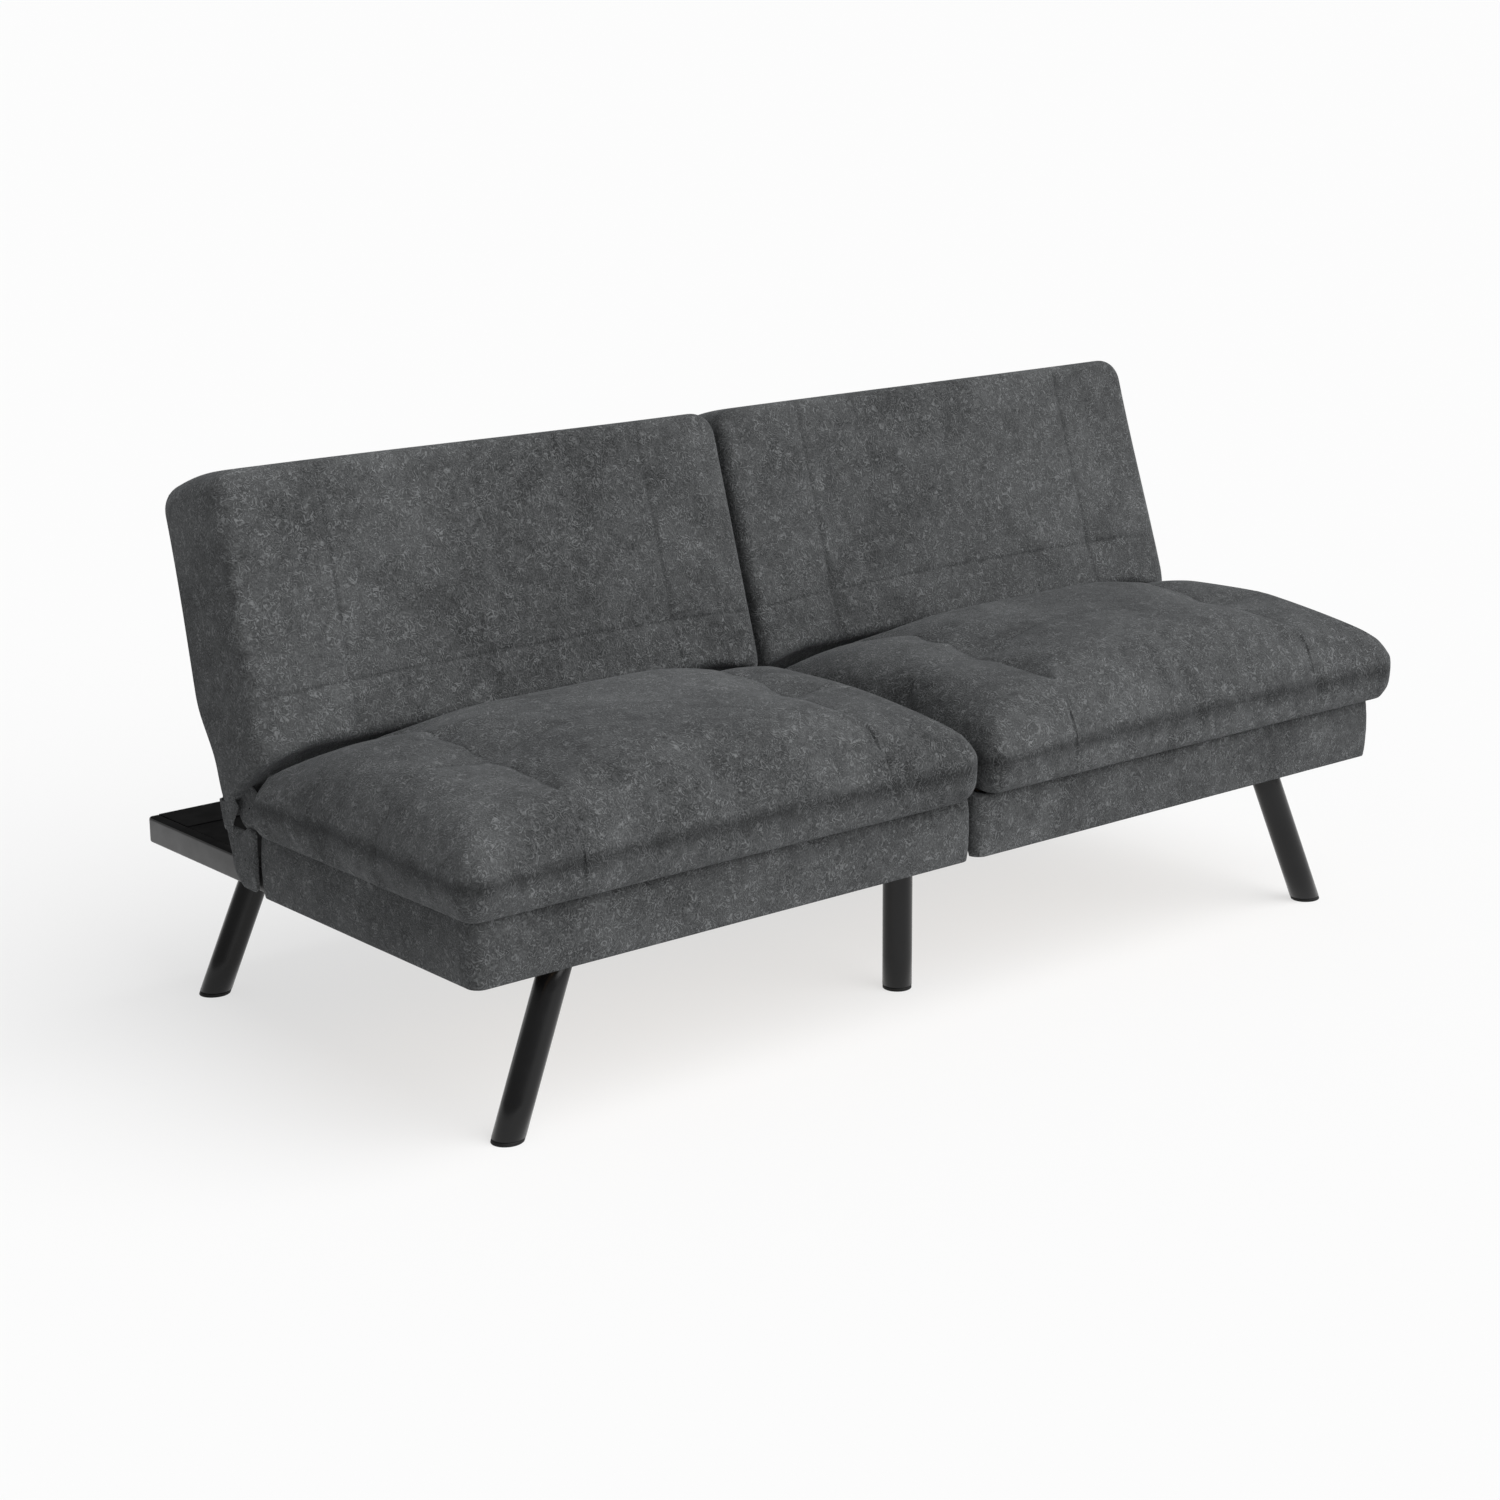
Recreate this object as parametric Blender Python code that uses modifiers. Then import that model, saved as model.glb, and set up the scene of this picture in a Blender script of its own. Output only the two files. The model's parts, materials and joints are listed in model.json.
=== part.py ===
"""Futon sofa bed: a timber base on five tube legs, two upholstered seat boxes with
pillow pads, and two upholstered backs that fold down on click-clack hinges.

Metres, +Z up, origin on the floor under the middle of the whole sofa. Everything is
laid out from the front face of the seat boxes, at y = 0 of the empty that carries it.
"""
import math

import bmesh
import bpy
from mathutils import Matrix, Vector

# Overall sizes
SOFA_WIDTH = 1.650          # over the two seat boxes, without the pads
MODULE_GAP = 0.008          # between the two halves at the middle
SEAT_DEPTH = 0.500          # seat box, front to rear
SEAT_BOX_HEIGHT = 0.084
SEAT_TOP = 0.314            # top of the seat boxes above the floor
SHELF_DEPTH = 0.265         # from the rear of the hinge rail to the rear of the base
CLEARANCE = 0.0003          # between pieces that touch

# Upholstery
COVER = 0.005               # fabric and its wadding
SEAT_CORNER = 0.018         # upright corners of the seat boxes
PAD_OVERHANG = 0.035        # seat pad past the box, front and outer side
PAD_GAP = 0.003             # between the two pads at the middle
SEAT_PAD_SETBACK = 0.012    # rear of a seat pad ahead of the rear of its box
SEAT_PAD_SEAM = 0.052       # seam above the box
SEAT_PAD_HEIGHT = 0.146
BACK_PAD_OVERHANG = 0.015

# Timber frame
RAIL_HEIGHT = 0.035
SIDE_RAIL = 0.020
FRONT_RAIL = 0.060
FRONT_RAIL_SETBACK = 0.034
HINGE_RAIL = 0.040
HINGE_RAIL_GAP = 0.005      # behind the seat boxes
REAR_RAIL = 0.080
CENTRE_RAIL = 0.040
SHELF_THICKNESS = 0.008
SHELF_RECESS = 0.001
SHELF_CORNER = 0.010
BOARD = 0.018
DECK = 0.012

# Legs
LEG_DIAMETER = 0.042
LEG_WALL = 0.002
LEG_TOP_INSET = 0.172       # in from the outer face of the seat boxes
LEG_FOOT_INSET = 0.075
FRONT_LEG_TOP_Y = 0.064
FRONT_LEG_FOOT_Y = 0.050
REAR_LEG_TOP_INSET = 0.055  # in from the rear edge of the base
REAR_LEG_FOOT_INSET = 0.041
CENTRE_LEG_Y = 0.157
PLATE_LENGTH = 0.100
PLATE_WIDTH = 0.058
PLATE_THICKNESS = 0.003
CENTRE_PLATE = 0.064
GLIDE_THICKNESS = 0.005
GLIDE_PLUG = 0.014

# Backs, in the frame of the hinge axis: n forward of it, u up along the back
BACK_TILT = math.radians(17.0)
HINGE_SETBACK = 0.010       # hinge axis behind the seat boxes
HINGE_RISE = 0.031          # hinge axis above the seat boxes
BACK_SEAT_GAP = 0.002       # between a seat box and the low edge of a back lying flat
BACK_FRONT_DROP = 0.001     # front of a flat back's frame below the top of the seat box
BACK_SHELF_GAP = 0.009      # between the base and a back lying flat
BACK_FRAME_TOP = 0.375
BACK_LOW_EDGE_RADIUS = 0.012
BACK_EDGE_RADIUS = 0.010
STILE = 0.045
BACK_RAIL = 0.045
BACK_PAD_THICKNESS = 0.120
BACK_PAD_SEAM = 0.028       # seam above the frame
BACK_PAD_LOW = 0.015
BACK_PAD_RISE = 0.049       # top of the pad above the frame

# Click-clack hinges
HINGE_PLATE = 0.004
HINGE_EAR = 0.012
EAR_SHOULDER = 0.0015       # step between the round ear and the straight web
BOSS_STEP = 0.0003          # the ear is a boss, this much proud of the web on each side
SHAFT_DIAMETER = 0.010
ARM_WIDTH = 0.026
ARM_HEIGHT = 0.120
FLANGE_WIDTH = 0.040
FLANGE_HEIGHT = 0.030
FLANGE_THICKNESS = 0.003
SLOT_SIDE_GAP = 0.002
SLOT_TOP_GAP = 0.006        # slot in the case past the hinge ear
NOTCH_RADIUS = 0.0016
NOTCH_ANGLES = (35.0, 70.0, 105.0)
FLAP_THICKNESS = 0.005
FLAP_REACH = 0.026          # behind the hinge rail
FLAP_TOP_GAP = 0.002        # below the top of the seat boxes
FLAP_RADIUS = 0.004
FLAP_REAR_RADIUS = 0.040

# Worked out from the above
HALF_WIDTH = SOFA_WIDTH / 2
HALF_GAP = MODULE_GAP / 2
BOX_LOW = SEAT_TOP - SEAT_BOX_HEIGHT
RAIL_TOP = BOX_LOW + RAIL_HEIGHT
RAIL_OUTER = HALF_WIDTH - COVER - CLEARANCE
RAIL_INNER = RAIL_OUTER - SIDE_RAIL
CROSS_RAIL_END = RAIL_INNER - CLEARANCE
BOARD_LOW = RAIL_TOP + CLEARANCE
DECK_TOP = SEAT_TOP - CLEARANCE
DECK_LOW = DECK_TOP - DECK
BOARD_TOP = DECK_LOW - CLEARANCE
LINING_FRONT = COVER + CLEARANCE
LINING_REAR = SEAT_DEPTH - COVER - CLEARANCE
LINING_INNER = HALF_GAP + COVER + CLEARANCE
LINING_OUTER = HALF_WIDTH - COVER - CLEARANCE
BOARD_CORNER = SEAT_CORNER - COVER - CLEARANCE
HINGE_RAIL_FRONT = SEAT_DEPTH + HINGE_RAIL_GAP
HINGE_RAIL_REAR = HINGE_RAIL_FRONT + HINGE_RAIL
SHELF_REAR = HINGE_RAIL_REAR + SHELF_DEPTH
REAR_RAIL_FRONT = SHELF_REAR - REAR_RAIL
LEG_TOP_X = HALF_WIDTH - LEG_TOP_INSET
LEG_FOOT_X = HALF_WIDTH - LEG_FOOT_INSET
REAR_LEG_TOP_Y = SHELF_REAR - REAR_LEG_TOP_INSET
REAR_LEG_FOOT_Y = SHELF_REAR - REAR_LEG_FOOT_INSET
PLATE_TOP = BOX_LOW - CLEARANCE
PLATE_LOW = PLATE_TOP - PLATE_THICKNESS
LEG_TOP = PLATE_LOW - CLEARANCE
LEG_LOW = GLIDE_THICKNESS + CLEARANCE
SEAT_PAD_REAR = SEAT_DEPTH - SEAT_PAD_SETBACK
HINGE_Y = SEAT_DEPTH + HINGE_SETBACK
HINGE_Z = SEAT_TOP + HINGE_RISE
BACK_FRAME_LOW = BACK_SEAT_GAP - HINGE_SETBACK
BACK_FRAME_FRONT = -HINGE_RISE - BACK_FRONT_DROP
BACK_FRAME_REAR = RAIL_TOP + BACK_SHELF_GAP - HINGE_Z
BACK_PAD_TOP = BACK_FRAME_TOP + BACK_PAD_RISE
WOOD_FRONT = BACK_FRAME_FRONT - CLEARANCE
WOOD_REAR = BACK_FRAME_REAR + COVER + CLEARANCE
WOOD_TOP = BACK_FRAME_TOP - COVER - CLEARANCE
SLOT_TOP = HINGE_EAR + SLOT_TOP_GAP
WOOD_LOW = SLOT_TOP + CLEARANCE
ARM_LOW = BACK_FRAME_LOW + COVER + CLEARANCE

SIDES = (("left", -1), ("right", 1))
BOX_EDGES = {"x": 0, "y": 1, "z": 2}


def empty_scene():
    """Removes what is there, and returns the part and cutter collections."""
    for item in list(bpy.data.objects):
        bpy.data.objects.remove(item, do_unlink=True)
    groups = []
    for name in ("futon_sofa_bed", "cutters"):
        group = bpy.data.collections.new(name)
        bpy.context.scene.collection.children.link(group)
        groups.append(group)
    return groups


PARTS, CUTTERS = empty_scene()


def finish(name, colour, roughness, metallic=0.0):
    """A plain material in the piece's own colour."""
    material = bpy.data.materials.new(name)
    material.use_nodes = True
    shader = material.node_tree.nodes["Principled BSDF"]
    shader.inputs["Base Color"].default_value = (*colour, 1.0)
    shader.inputs["Roughness"].default_value = roughness
    shader.inputs["Metallic"].default_value = metallic
    return material


FABRIC = finish("charcoal_fabric", (0.085, 0.088, 0.092), 0.95)
TIMBER = finish("sawn_pine", (0.55, 0.40, 0.24), 0.75)
PLYWOOD = finish("birch_plywood", (0.62, 0.48, 0.31), 0.70)
BLACK_PAINT = finish("black_satin_paint", (0.020, 0.020, 0.021), 0.38)
BLACK_BOARD = finish("black_board", (0.010, 0.010, 0.010), 0.70)
POWDER_COAT = finish("black_powder_coat", (0.015, 0.015, 0.016), 0.35, 0.30)
ZINC = finish("zinc_plated_steel", (0.56, 0.57, 0.58), 0.35, 0.95)
BLACK_PLASTIC = finish("black_plastic", (0.018, 0.018, 0.018), 0.50)


def empty(name, place, parent=None, tilt=0.0):
    """An empty that carries pieces, turned by a tilt about X."""
    carrier = bpy.data.objects.new(name, None)
    PARTS.objects.link(carrier)
    carrier.parent = parent
    carrier.location = place
    carrier.rotation_euler = (tilt, 0.0, 0.0)
    return carrier


def add_piece(name, mesh, parent, place, material):
    """Links a finished mesh as a named piece."""
    piece = bpy.data.objects.new(name, mesh)
    PARTS.objects.link(piece)
    piece.parent = parent
    piece.location = place
    mesh.materials.append(material)
    return piece


def round_edges(bm, along, signs, radius, segments=4):
    """Rounds the box edge that runs along one axis, on the given sides of the others."""
    axis = BOX_EDGES[along]
    others = [i for i in range(3) if i != axis]

    def on_edge(vertex):
        return all(vertex.co[i] * s > 0 for i, s in zip(others, signs))

    edges = [e for e in bm.edges if all(on_edge(v) for v in e.verts)]
    bmesh.ops.bevel(bm, geom=edges, offset=radius, segments=segments, profile=0.5,
                    affect="EDGES")


def box_mesh(name, size, rounds=()):
    """A box mesh about its centre; each round is (axis, signs, radius)."""
    bm = bmesh.new()
    bmesh.ops.create_cube(bm, size=1.0)
    bmesh.ops.scale(bm, vec=size, verts=bm.verts)
    for along, signs, radius in rounds:
        round_edges(bm, along, signs, radius)
    mesh = bpy.data.meshes.new(name)
    bm.to_mesh(mesh)
    bm.free()
    return mesh


def span(side, near, far):
    """Limits along X of a piece that lies between two distances from the middle."""
    return tuple(sorted((side * near, side * far)))


def block(name, x, y, z, parent, material, rounds=()):
    """A rectangular piece between the given limits."""
    size = [hi - lo for lo, hi in (x, y, z)]
    middle = [(hi + lo) / 2 for lo, hi in (x, y, z)]
    return add_piece(name, box_mesh(name, size, rounds), parent, middle, material)


def cutter(piece):
    """Turns a piece into a cutter that isn't part of the sofa."""
    PARTS.objects.unlink(piece)
    CUTTERS.objects.link(piece)
    piece.hide_render = True
    piece.display_type = "WIRE"
    return piece


def combine(piece, other, operation):
    """Adds an exact Boolean to a piece."""
    modifier = piece.modifiers.new(operation.lower(), "BOOLEAN")
    modifier.operation = operation
    modifier.solver = "EXACT"
    modifier.object = other


def cylinder_mesh(name, radius, length, segments, turn):
    """A capped cylinder about its centre, turned from Z by a rotation matrix."""
    bm = bmesh.new()
    bmesh.ops.create_cone(bm, cap_ends=True, segments=segments, radius1=radius,
                          radius2=radius, depth=length, matrix=turn)
    mesh = bpy.data.meshes.new(name)
    bm.to_mesh(mesh)
    bm.free()
    mesh.shade_smooth()
    mesh.set_sharp_from_angle(angle=math.radians(40))
    return mesh


ALONG_X = Matrix.Rotation(math.radians(90), 4, "Y")


def rod(name, radius, x, y, z, parent, material, segments=24):
    """A round piece along X between two limits."""
    mesh = cylinder_mesh(name, radius, x[1] - x[0], segments, ALONG_X)
    return add_piece(name, mesh, parent, ((x[0] + x[1]) / 2, y, z), material)


BASE = empty("base", (0.0, (PAD_OVERHANG - SHELF_REAR) / 2, 0.0))


def base_frame():
    """The painted timber frame under the seat and the shelf behind it."""
    z = (BOX_LOW, RAIL_TOP)
    cross = (-CROSS_RAIL_END, CROSS_RAIL_END)
    side_front = LINING_FRONT + BOARD + CLEARANCE
    for label, side in SIDES:
        block(f"side_rail_{label}", span(side, RAIL_INNER, RAIL_OUTER),
              (side_front, SHELF_REAR), z, BASE, BLACK_PAINT,
              [("z", (side, 1), SHELF_CORNER)])
    front = (FRONT_RAIL_SETBACK, FRONT_RAIL_SETBACK + FRONT_RAIL)
    block("front_rail", cross, front, z, BASE, BLACK_PAINT)
    hinge = (HINGE_RAIL_FRONT, HINGE_RAIL_REAR)
    block("hinge_rail", cross, hinge, z, BASE, BLACK_PAINT)
    block("rear_rail", cross, (REAR_RAIL_FRONT, SHELF_REAR), z, BASE, BLACK_PAINT)
    block("centre_rail", (-CENTRE_RAIL / 2, CENTRE_RAIL / 2),
          (front[1] + CLEARANCE, hinge[0] - CLEARANCE), z, BASE, BLACK_PAINT)
    shelf_top = RAIL_TOP - SHELF_RECESS
    block("shelf_panel", cross, (hinge[1] + CLEARANCE, REAR_RAIL_FRONT - CLEARANCE),
          (shelf_top - SHELF_THICKNESS, shelf_top), BASE, BLACK_BOARD)


def leg_cylinder(name, radius, foot, top, material, reach=1.5):
    """A cylinder on a leg's axis, longer than the leg, to be cut level at both ends."""
    axis = Vector(top) - Vector(foot)
    turn = Vector((0, 0, 1)).rotation_difference(axis).to_matrix().to_4x4()
    mesh = cylinder_mesh(name, radius, axis.length * reach, 32, turn)
    return add_piece(name, mesh, BASE, (Vector(top) + Vector(foot)) / 2, material)


def level_slab(name, low, high, foot):
    """A cutter that keeps what lies between two heights round a leg."""
    reach = 2 * LEG_DIAMETER + abs(LEG_FOOT_X - LEG_TOP_X)
    x = (foot[0] - reach, foot[0] + reach)
    y = (foot[1] - reach, foot[1] + reach)
    return cutter(block(name, x, y, (low, high), BASE, BLACK_PLASTIC))


def leg(label, foot, top, plate_size):
    """One tube leg, its mounting plate and its plastic glide."""
    x = (top[0] - plate_size[0] / 2, top[0] + plate_size[0] / 2)
    y = (top[1] - plate_size[1] / 2, top[1] + plate_size[1] / 2)
    block(f"leg_plate_{label}", x, y, (PLATE_LOW, PLATE_TOP), BASE, POWDER_COAT)

    radius = LEG_DIAMETER / 2
    bore = radius - LEG_WALL
    tube = leg_cylinder(f"leg_{label}", radius, foot, top, POWDER_COAT)
    inside = cutter(leg_cylinder(f"bore_{label}", bore, foot, top, BLACK_PLASTIC, reach=1.8))
    combine(tube, inside, "DIFFERENCE")
    combine(tube, level_slab(f"tube_slab_{label}", LEG_LOW, LEG_TOP, foot), "INTERSECT")

    glide = leg_cylinder(f"leg_glide_{label}", radius, foot, top, BLACK_PLASTIC)
    disc = level_slab(f"disc_slab_{label}", 0.0, GLIDE_THICKNESS, foot)
    combine(glide, disc, "INTERSECT")
    plug = cutter(leg_cylinder(f"plug_{label}", bore - CLEARANCE, foot, top, BLACK_PLASTIC))
    low = GLIDE_THICKNESS / 2
    combine(plug, level_slab(f"plug_slab_{label}", low, low + GLIDE_PLUG, foot), "INTERSECT")
    combine(glide, plug, "UNION")


def legs():
    """Four splayed corner legs and an upright one under the middle of the seat."""
    corner_plate = (PLATE_LENGTH, PLATE_WIDTH)
    for label, side in SIDES:
        leg(f"front_{label}", (side * LEG_FOOT_X, FRONT_LEG_FOOT_Y, 0.0),
            (side * LEG_TOP_X, FRONT_LEG_TOP_Y, LEG_TOP), corner_plate)
        leg(f"rear_{label}", (side * LEG_FOOT_X, REAR_LEG_FOOT_Y, 0.0),
            (side * LEG_TOP_X, REAR_LEG_TOP_Y, LEG_TOP), corner_plate)
    leg("centre", (0.0, CENTRE_LEG_Y, 0.0), (0.0, CENTRE_LEG_Y, LEG_TOP),
        (CENTRE_PLATE, CENTRE_PLATE))


def seat_cover(label, side):
    """The fabric band round a seat box, cut away where the base rails pass."""
    all_corners = [("z", (a, b)) for a in (-1, 1) for b in (-1, 1)]
    outer = [(*corner, SEAT_CORNER) for corner in all_corners]
    inner = [(*corner, SEAT_CORNER - COVER) for corner in all_corners]
    name = f"seat_cover_{label}"
    band = block(name, span(side, HALF_GAP, HALF_WIDTH), (0.0, SEAT_DEPTH),
                 (BOX_LOW, SEAT_TOP), BASE, FABRIC, outer)
    hollow = block(f"{name}_hollow", span(side, HALF_GAP + COVER, HALF_WIDTH - COVER),
                   (COVER, SEAT_DEPTH - COVER), (BOX_LOW - COVER, SEAT_TOP + COVER),
                   BASE, FABRIC, inner)
    combine(band, cutter(hollow), "DIFFERENCE")
    notch = block(f"{name}_notch", span(side, 0.0, HALF_WIDTH - COVER),
                  (LINING_FRONT + BOARD, SEAT_DEPTH + COVER),
                  (BOX_LOW - COVER, BOARD_LOW), BASE, FABRIC)
    combine(band, cutter(notch), "DIFFERENCE")


def seat_box(label, side):
    """The boards and the deck inside a seat box."""
    across = span(side, LINING_INNER, LINING_OUTER)
    front = (LINING_FRONT, LINING_FRONT + BOARD)
    rear = (LINING_REAR - BOARD, LINING_REAR)
    between = (front[1] + CLEARANCE, rear[0] - CLEARANCE)
    upper = (BOARD_LOW, BOARD_TOP)
    front_corners = [("z", (s, -1), BOARD_CORNER) for s in (-1, 1)]
    rear_corners = [("z", (s, 1), BOARD_CORNER) for s in (-1, 1)]
    block(f"seat_front_board_{label}", across, front, (BOX_LOW, BOARD_TOP), BASE, TIMBER,
          front_corners)
    block(f"seat_rear_board_{label}", across, rear, upper, BASE, TIMBER, rear_corners)
    block(f"seat_outer_board_{label}", span(side, LINING_OUTER - BOARD, LINING_OUTER),
          between, upper, BASE, TIMBER)
    block(f"seat_inner_board_{label}", span(side, LINING_INNER, LINING_INNER + BOARD),
          between, upper, BASE, TIMBER)
    block(f"seat_deck_{label}", across, (LINING_FRONT, LINING_REAR), (DECK_LOW, DECK_TOP),
          BASE, PLYWOOD, front_corners + rear_corners)


# How a pad's section shrinks towards each end: distance from the end, share kept of the
# thickness above the seam and below it, and how far the section draws in at its edges.
PAD_ENDS = ((0.0, 0.10, 0.30, 0.090), (0.0, 0.34, 0.50, 0.036), (0.012, 0.64, 0.80, 0.016),
            (0.040, 0.88, 1.0, 0.003), (0.080, 0.97, 1.0, 0.0), (0.160, 1.0, 1.0, 0.0))

# The pads' sections, as (edge, distance past it, level, height above it)
SEAT_PAD_SECTION = (("front", 0.047, "low", 0.0), ("rear", -0.030, "low", 0.0),
                    ("rear", -0.004, "low", 0.020), ("rear", 0.0, "seam", 0.0),
                    ("rear", -0.020, "seam", 0.026), ("rear", -0.065, "crown", -0.024),
                    ("rear", -0.150, "crown", -0.003), ("middle", -0.0265, "crown", 0.0),
                    ("front", 0.120, "crown", -0.006), ("front", 0.036, "crown", -0.026),
                    ("front", 0.006, "seam", 0.024), ("front", 0.0, "seam", 0.0),
                    ("front", 0.012, "low", 0.018))
BACK_PAD_SECTION = (("low", 0.0, "base", 0.0), ("low", 0.002, "base", 0.014),
                    ("low", 0.018, "base", 0.048), ("low", 0.038, "base", 0.080),
                    ("low", 0.056, "face", -0.008), ("low", 0.100, "face", 0.0),
                    ("middle", 0.0, "face", 0.0), ("top", -0.080, "face", 0.0),
                    ("top", -0.032, "face", -0.014), ("top", -0.008, "face", -0.042),
                    ("top", 0.0, "seam", 0.010), ("top", -0.008, "base", 0.006),
                    ("top", -0.030, "base", 0.0))


def section_points(table, near, far, levels):
    """A pad's section between two edges: (name, place) each, and the levels by name."""
    edges = dict((near, far))
    edges["middle"] = (near[1] + far[1]) / 2
    return tuple((edges[edge] + past, levels[level] + above)
                 for edge, past, level, above in table)


def shrink(point, seam, edges, above, below, draw):
    """Moves a section's point towards the seam line and in from both of its edges."""
    along, out = point
    middle = (edges[0] + edges[1]) / 2
    half = (edges[1] - edges[0]) / 2
    along = middle + (along - middle) * (half - draw) / half
    keep = above if out > seam else below
    return along, seam + (out - seam) * keep


def pad_cage(name, section, seam, x, upright):
    """A coarse pillow cage: a section of points (along, out) carried from end to end.

    On a lying pad a point runs along Y and stands out along Z; on an upright one it runs
    along Z and stands out forward, along -Y.
    """
    edges = (min(p[0] for p in section), max(p[0] for p in section))
    stations = [(x[0] + end[0], *end[1:]) for end in PAD_ENDS]
    stations += [(x[1] - end[0], *end[1:]) for end in reversed(PAD_ENDS)]
    bm = bmesh.new()
    rings = []
    for at, above, below, draw in stations:
        points = [shrink(point, seam, edges, above, below, draw) for point in section]
        places = [(at, -out, along) if upright else (at, along, out) for along, out in points]
        rings.append([bm.verts.new(place) for place in places])
    count = len(section)
    for ring, following in zip(rings, rings[1:]):
        for i in range(count):
            j = (i + 1) % count
            bm.faces.new((ring[i], ring[j], following[j], following[i]))
    bm.faces.new(rings[0])
    bm.faces.new(rings[-1])
    bmesh.ops.recalc_face_normals(bm, faces=bm.faces)
    mesh = bpy.data.meshes.new(name)
    bm.to_mesh(mesh)
    bm.free()
    mesh.shade_smooth()
    return mesh


def fit_to_limits(piece, limits):
    """Stretches a subdivided cage so that its smooth surface just fills the limits."""
    smooth = piece.evaluated_get(bpy.context.evaluated_depsgraph_get())
    surface = smooth.to_mesh()
    for axis, (low, high) in enumerate(limits):
        values = [v.co[axis] for v in surface.vertices]
        scale = (high - low) / (max(values) - min(values))
        for vertex in piece.data.vertices:
            vertex.co[axis] = low + (vertex.co[axis] - min(values)) * scale
    smooth.to_mesh_clear()


def pad(name, cage, limits, parent):
    """A filled pad: a pillow cage, subdivided and fitted to its limits."""
    piece = add_piece(name, cage, parent, (0, 0, 0), FABRIC)
    smoothing = piece.modifiers.new("smooth", "SUBSURF")
    smoothing.levels = 1
    smoothing.render_levels = 1
    fit_to_limits(piece, limits)
    return piece


def seat_pad(label, side):
    """The pillow pad on a seat box; its seam stands out past the front and the side."""
    low = SEAT_TOP + CLEARANCE
    crown = SEAT_TOP + SEAT_PAD_HEIGHT
    front = -PAD_OVERHANG
    rear = SEAT_PAD_REAR
    section = section_points(SEAT_PAD_SECTION, ("front", front), ("rear", rear),
                             {"low": low, "seam": SEAT_TOP + SEAT_PAD_SEAM, "crown": crown})
    x = span(side, PAD_GAP / 2, HALF_WIDTH + PAD_OVERHANG)
    name = f"seat_pad_{label}"
    pad(name, pad_cage(name, section, SEAT_TOP + SEAT_PAD_SEAM, x, upright=False),
        (x, (front, rear), (low, crown)), BASE)


def seats():
    """Both seat boxes and their pads."""
    for label, side in SIDES:
        seat_box(label, side)
        seat_cover(label, side)
        seat_pad(label, side)


def forward(n_low, n_high):
    """Limits along the back's own Y, which points rearwards, from two n values."""
    return (-n_high, -n_low)


def back_cover(label, side, pivot, brackets):
    """The fabric case of a back's frame: open to the pad, slotted at the hinges."""
    name = f"back_cover_{label}"
    low_edge = ("x", (1, -1), BACK_LOW_EDGE_RADIUS)
    case = block(name, span(side, HALF_GAP, HALF_WIDTH),
                 forward(BACK_FRAME_REAR, BACK_FRAME_FRONT), (BACK_FRAME_LOW, BACK_FRAME_TOP),
                 pivot, FABRIC, [low_edge, ("x", (1, 1), BACK_EDGE_RADIUS)])
    inner_edge = ("x", (1, -1), BACK_LOW_EDGE_RADIUS - COVER)
    hollow = block(f"{name}_hollow", span(side, HALF_GAP + COVER, HALF_WIDTH - COVER),
                   forward(BACK_FRAME_REAR + COVER, 0.0),
                   (BACK_FRAME_LOW + COVER, BACK_FRAME_TOP - COVER), pivot, FABRIC,
                   [inner_edge])
    combine(case, cutter(hollow), "DIFFERENCE")
    for index, (near, far) in enumerate(brackets):
        slot = block(f"{name}_slot_{index}", span(side, near - SLOT_SIDE_GAP, far + SLOT_SIDE_GAP),
                     forward(BACK_FRAME_REAR - COVER, 0.0),
                     (BACK_FRAME_LOW - COVER, SLOT_TOP), pivot, FABRIC)
        combine(case, cutter(slot), "DIFFERENCE")


def back_frame(label, side, pivot, arms):
    """The timber frame inside a back."""
    depth = forward(WOOD_REAR, WOOD_FRONT)
    inner_stile = (LINING_INNER, LINING_INNER + STILE)
    outer_stile = (LINING_OUTER - STILE, LINING_OUTER)
    block(f"back_inner_stile_{label}", span(side, *inner_stile), depth, (WOOD_LOW, WOOD_TOP),
          pivot, TIMBER)
    block(f"back_outer_stile_{label}", span(side, *outer_stile), depth, (WOOD_LOW, WOOD_TOP),
          pivot, TIMBER)
    top_width = span(side, inner_stile[1] + CLEARANCE, outer_stile[0] - CLEARANCE)
    block(f"back_top_rail_{label}", top_width, depth, (WOOD_TOP - BACK_RAIL, WOOD_TOP), pivot,
          TIMBER)
    low_width = span(side, arms[0][1] + CLEARANCE, arms[1][0] - CLEARANCE)
    block(f"back_bottom_rail_{label}", low_width, depth, (WOOD_LOW, WOOD_LOW + BACK_RAIL),
          pivot, TIMBER)


def back_pad(label, side, pivot):
    """The pillow pad of a back; its lower end slopes off, clear of the seat pad."""
    base = BACK_FRAME_FRONT + CLEARANCE
    face = BACK_FRAME_FRONT + BACK_PAD_THICKNESS
    seam = base + BACK_PAD_SEAM
    section = section_points(BACK_PAD_SECTION, ("low", BACK_PAD_LOW), ("top", BACK_PAD_TOP),
                             {"base": base, "seam": seam, "face": face})
    x = span(side, PAD_GAP / 2, HALF_WIDTH + BACK_PAD_OVERHANG)
    name = f"back_pad_{label}"
    pad(name, pad_cage(name, section, seam, x, upright=True),
        (x, forward(base, face), (BACK_PAD_LOW, BACK_PAD_TOP)), pivot)


def hole(name, x, parent, y=0.0, z=0.0):
    """The cutter of a shaft hole through a hinge plate."""
    wide = (x[0] - COVER, x[1] + COVER)
    return cutter(rod(name, SHAFT_DIAMETER / 2 + CLEARANCE, wide, y, z, parent, ZINC))


def web_span(x):
    """Limits along X of the web of a hinge plate, inside those of its boss."""
    return (x[0] + BOSS_STEP, x[1] - BOSS_STEP)


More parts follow.
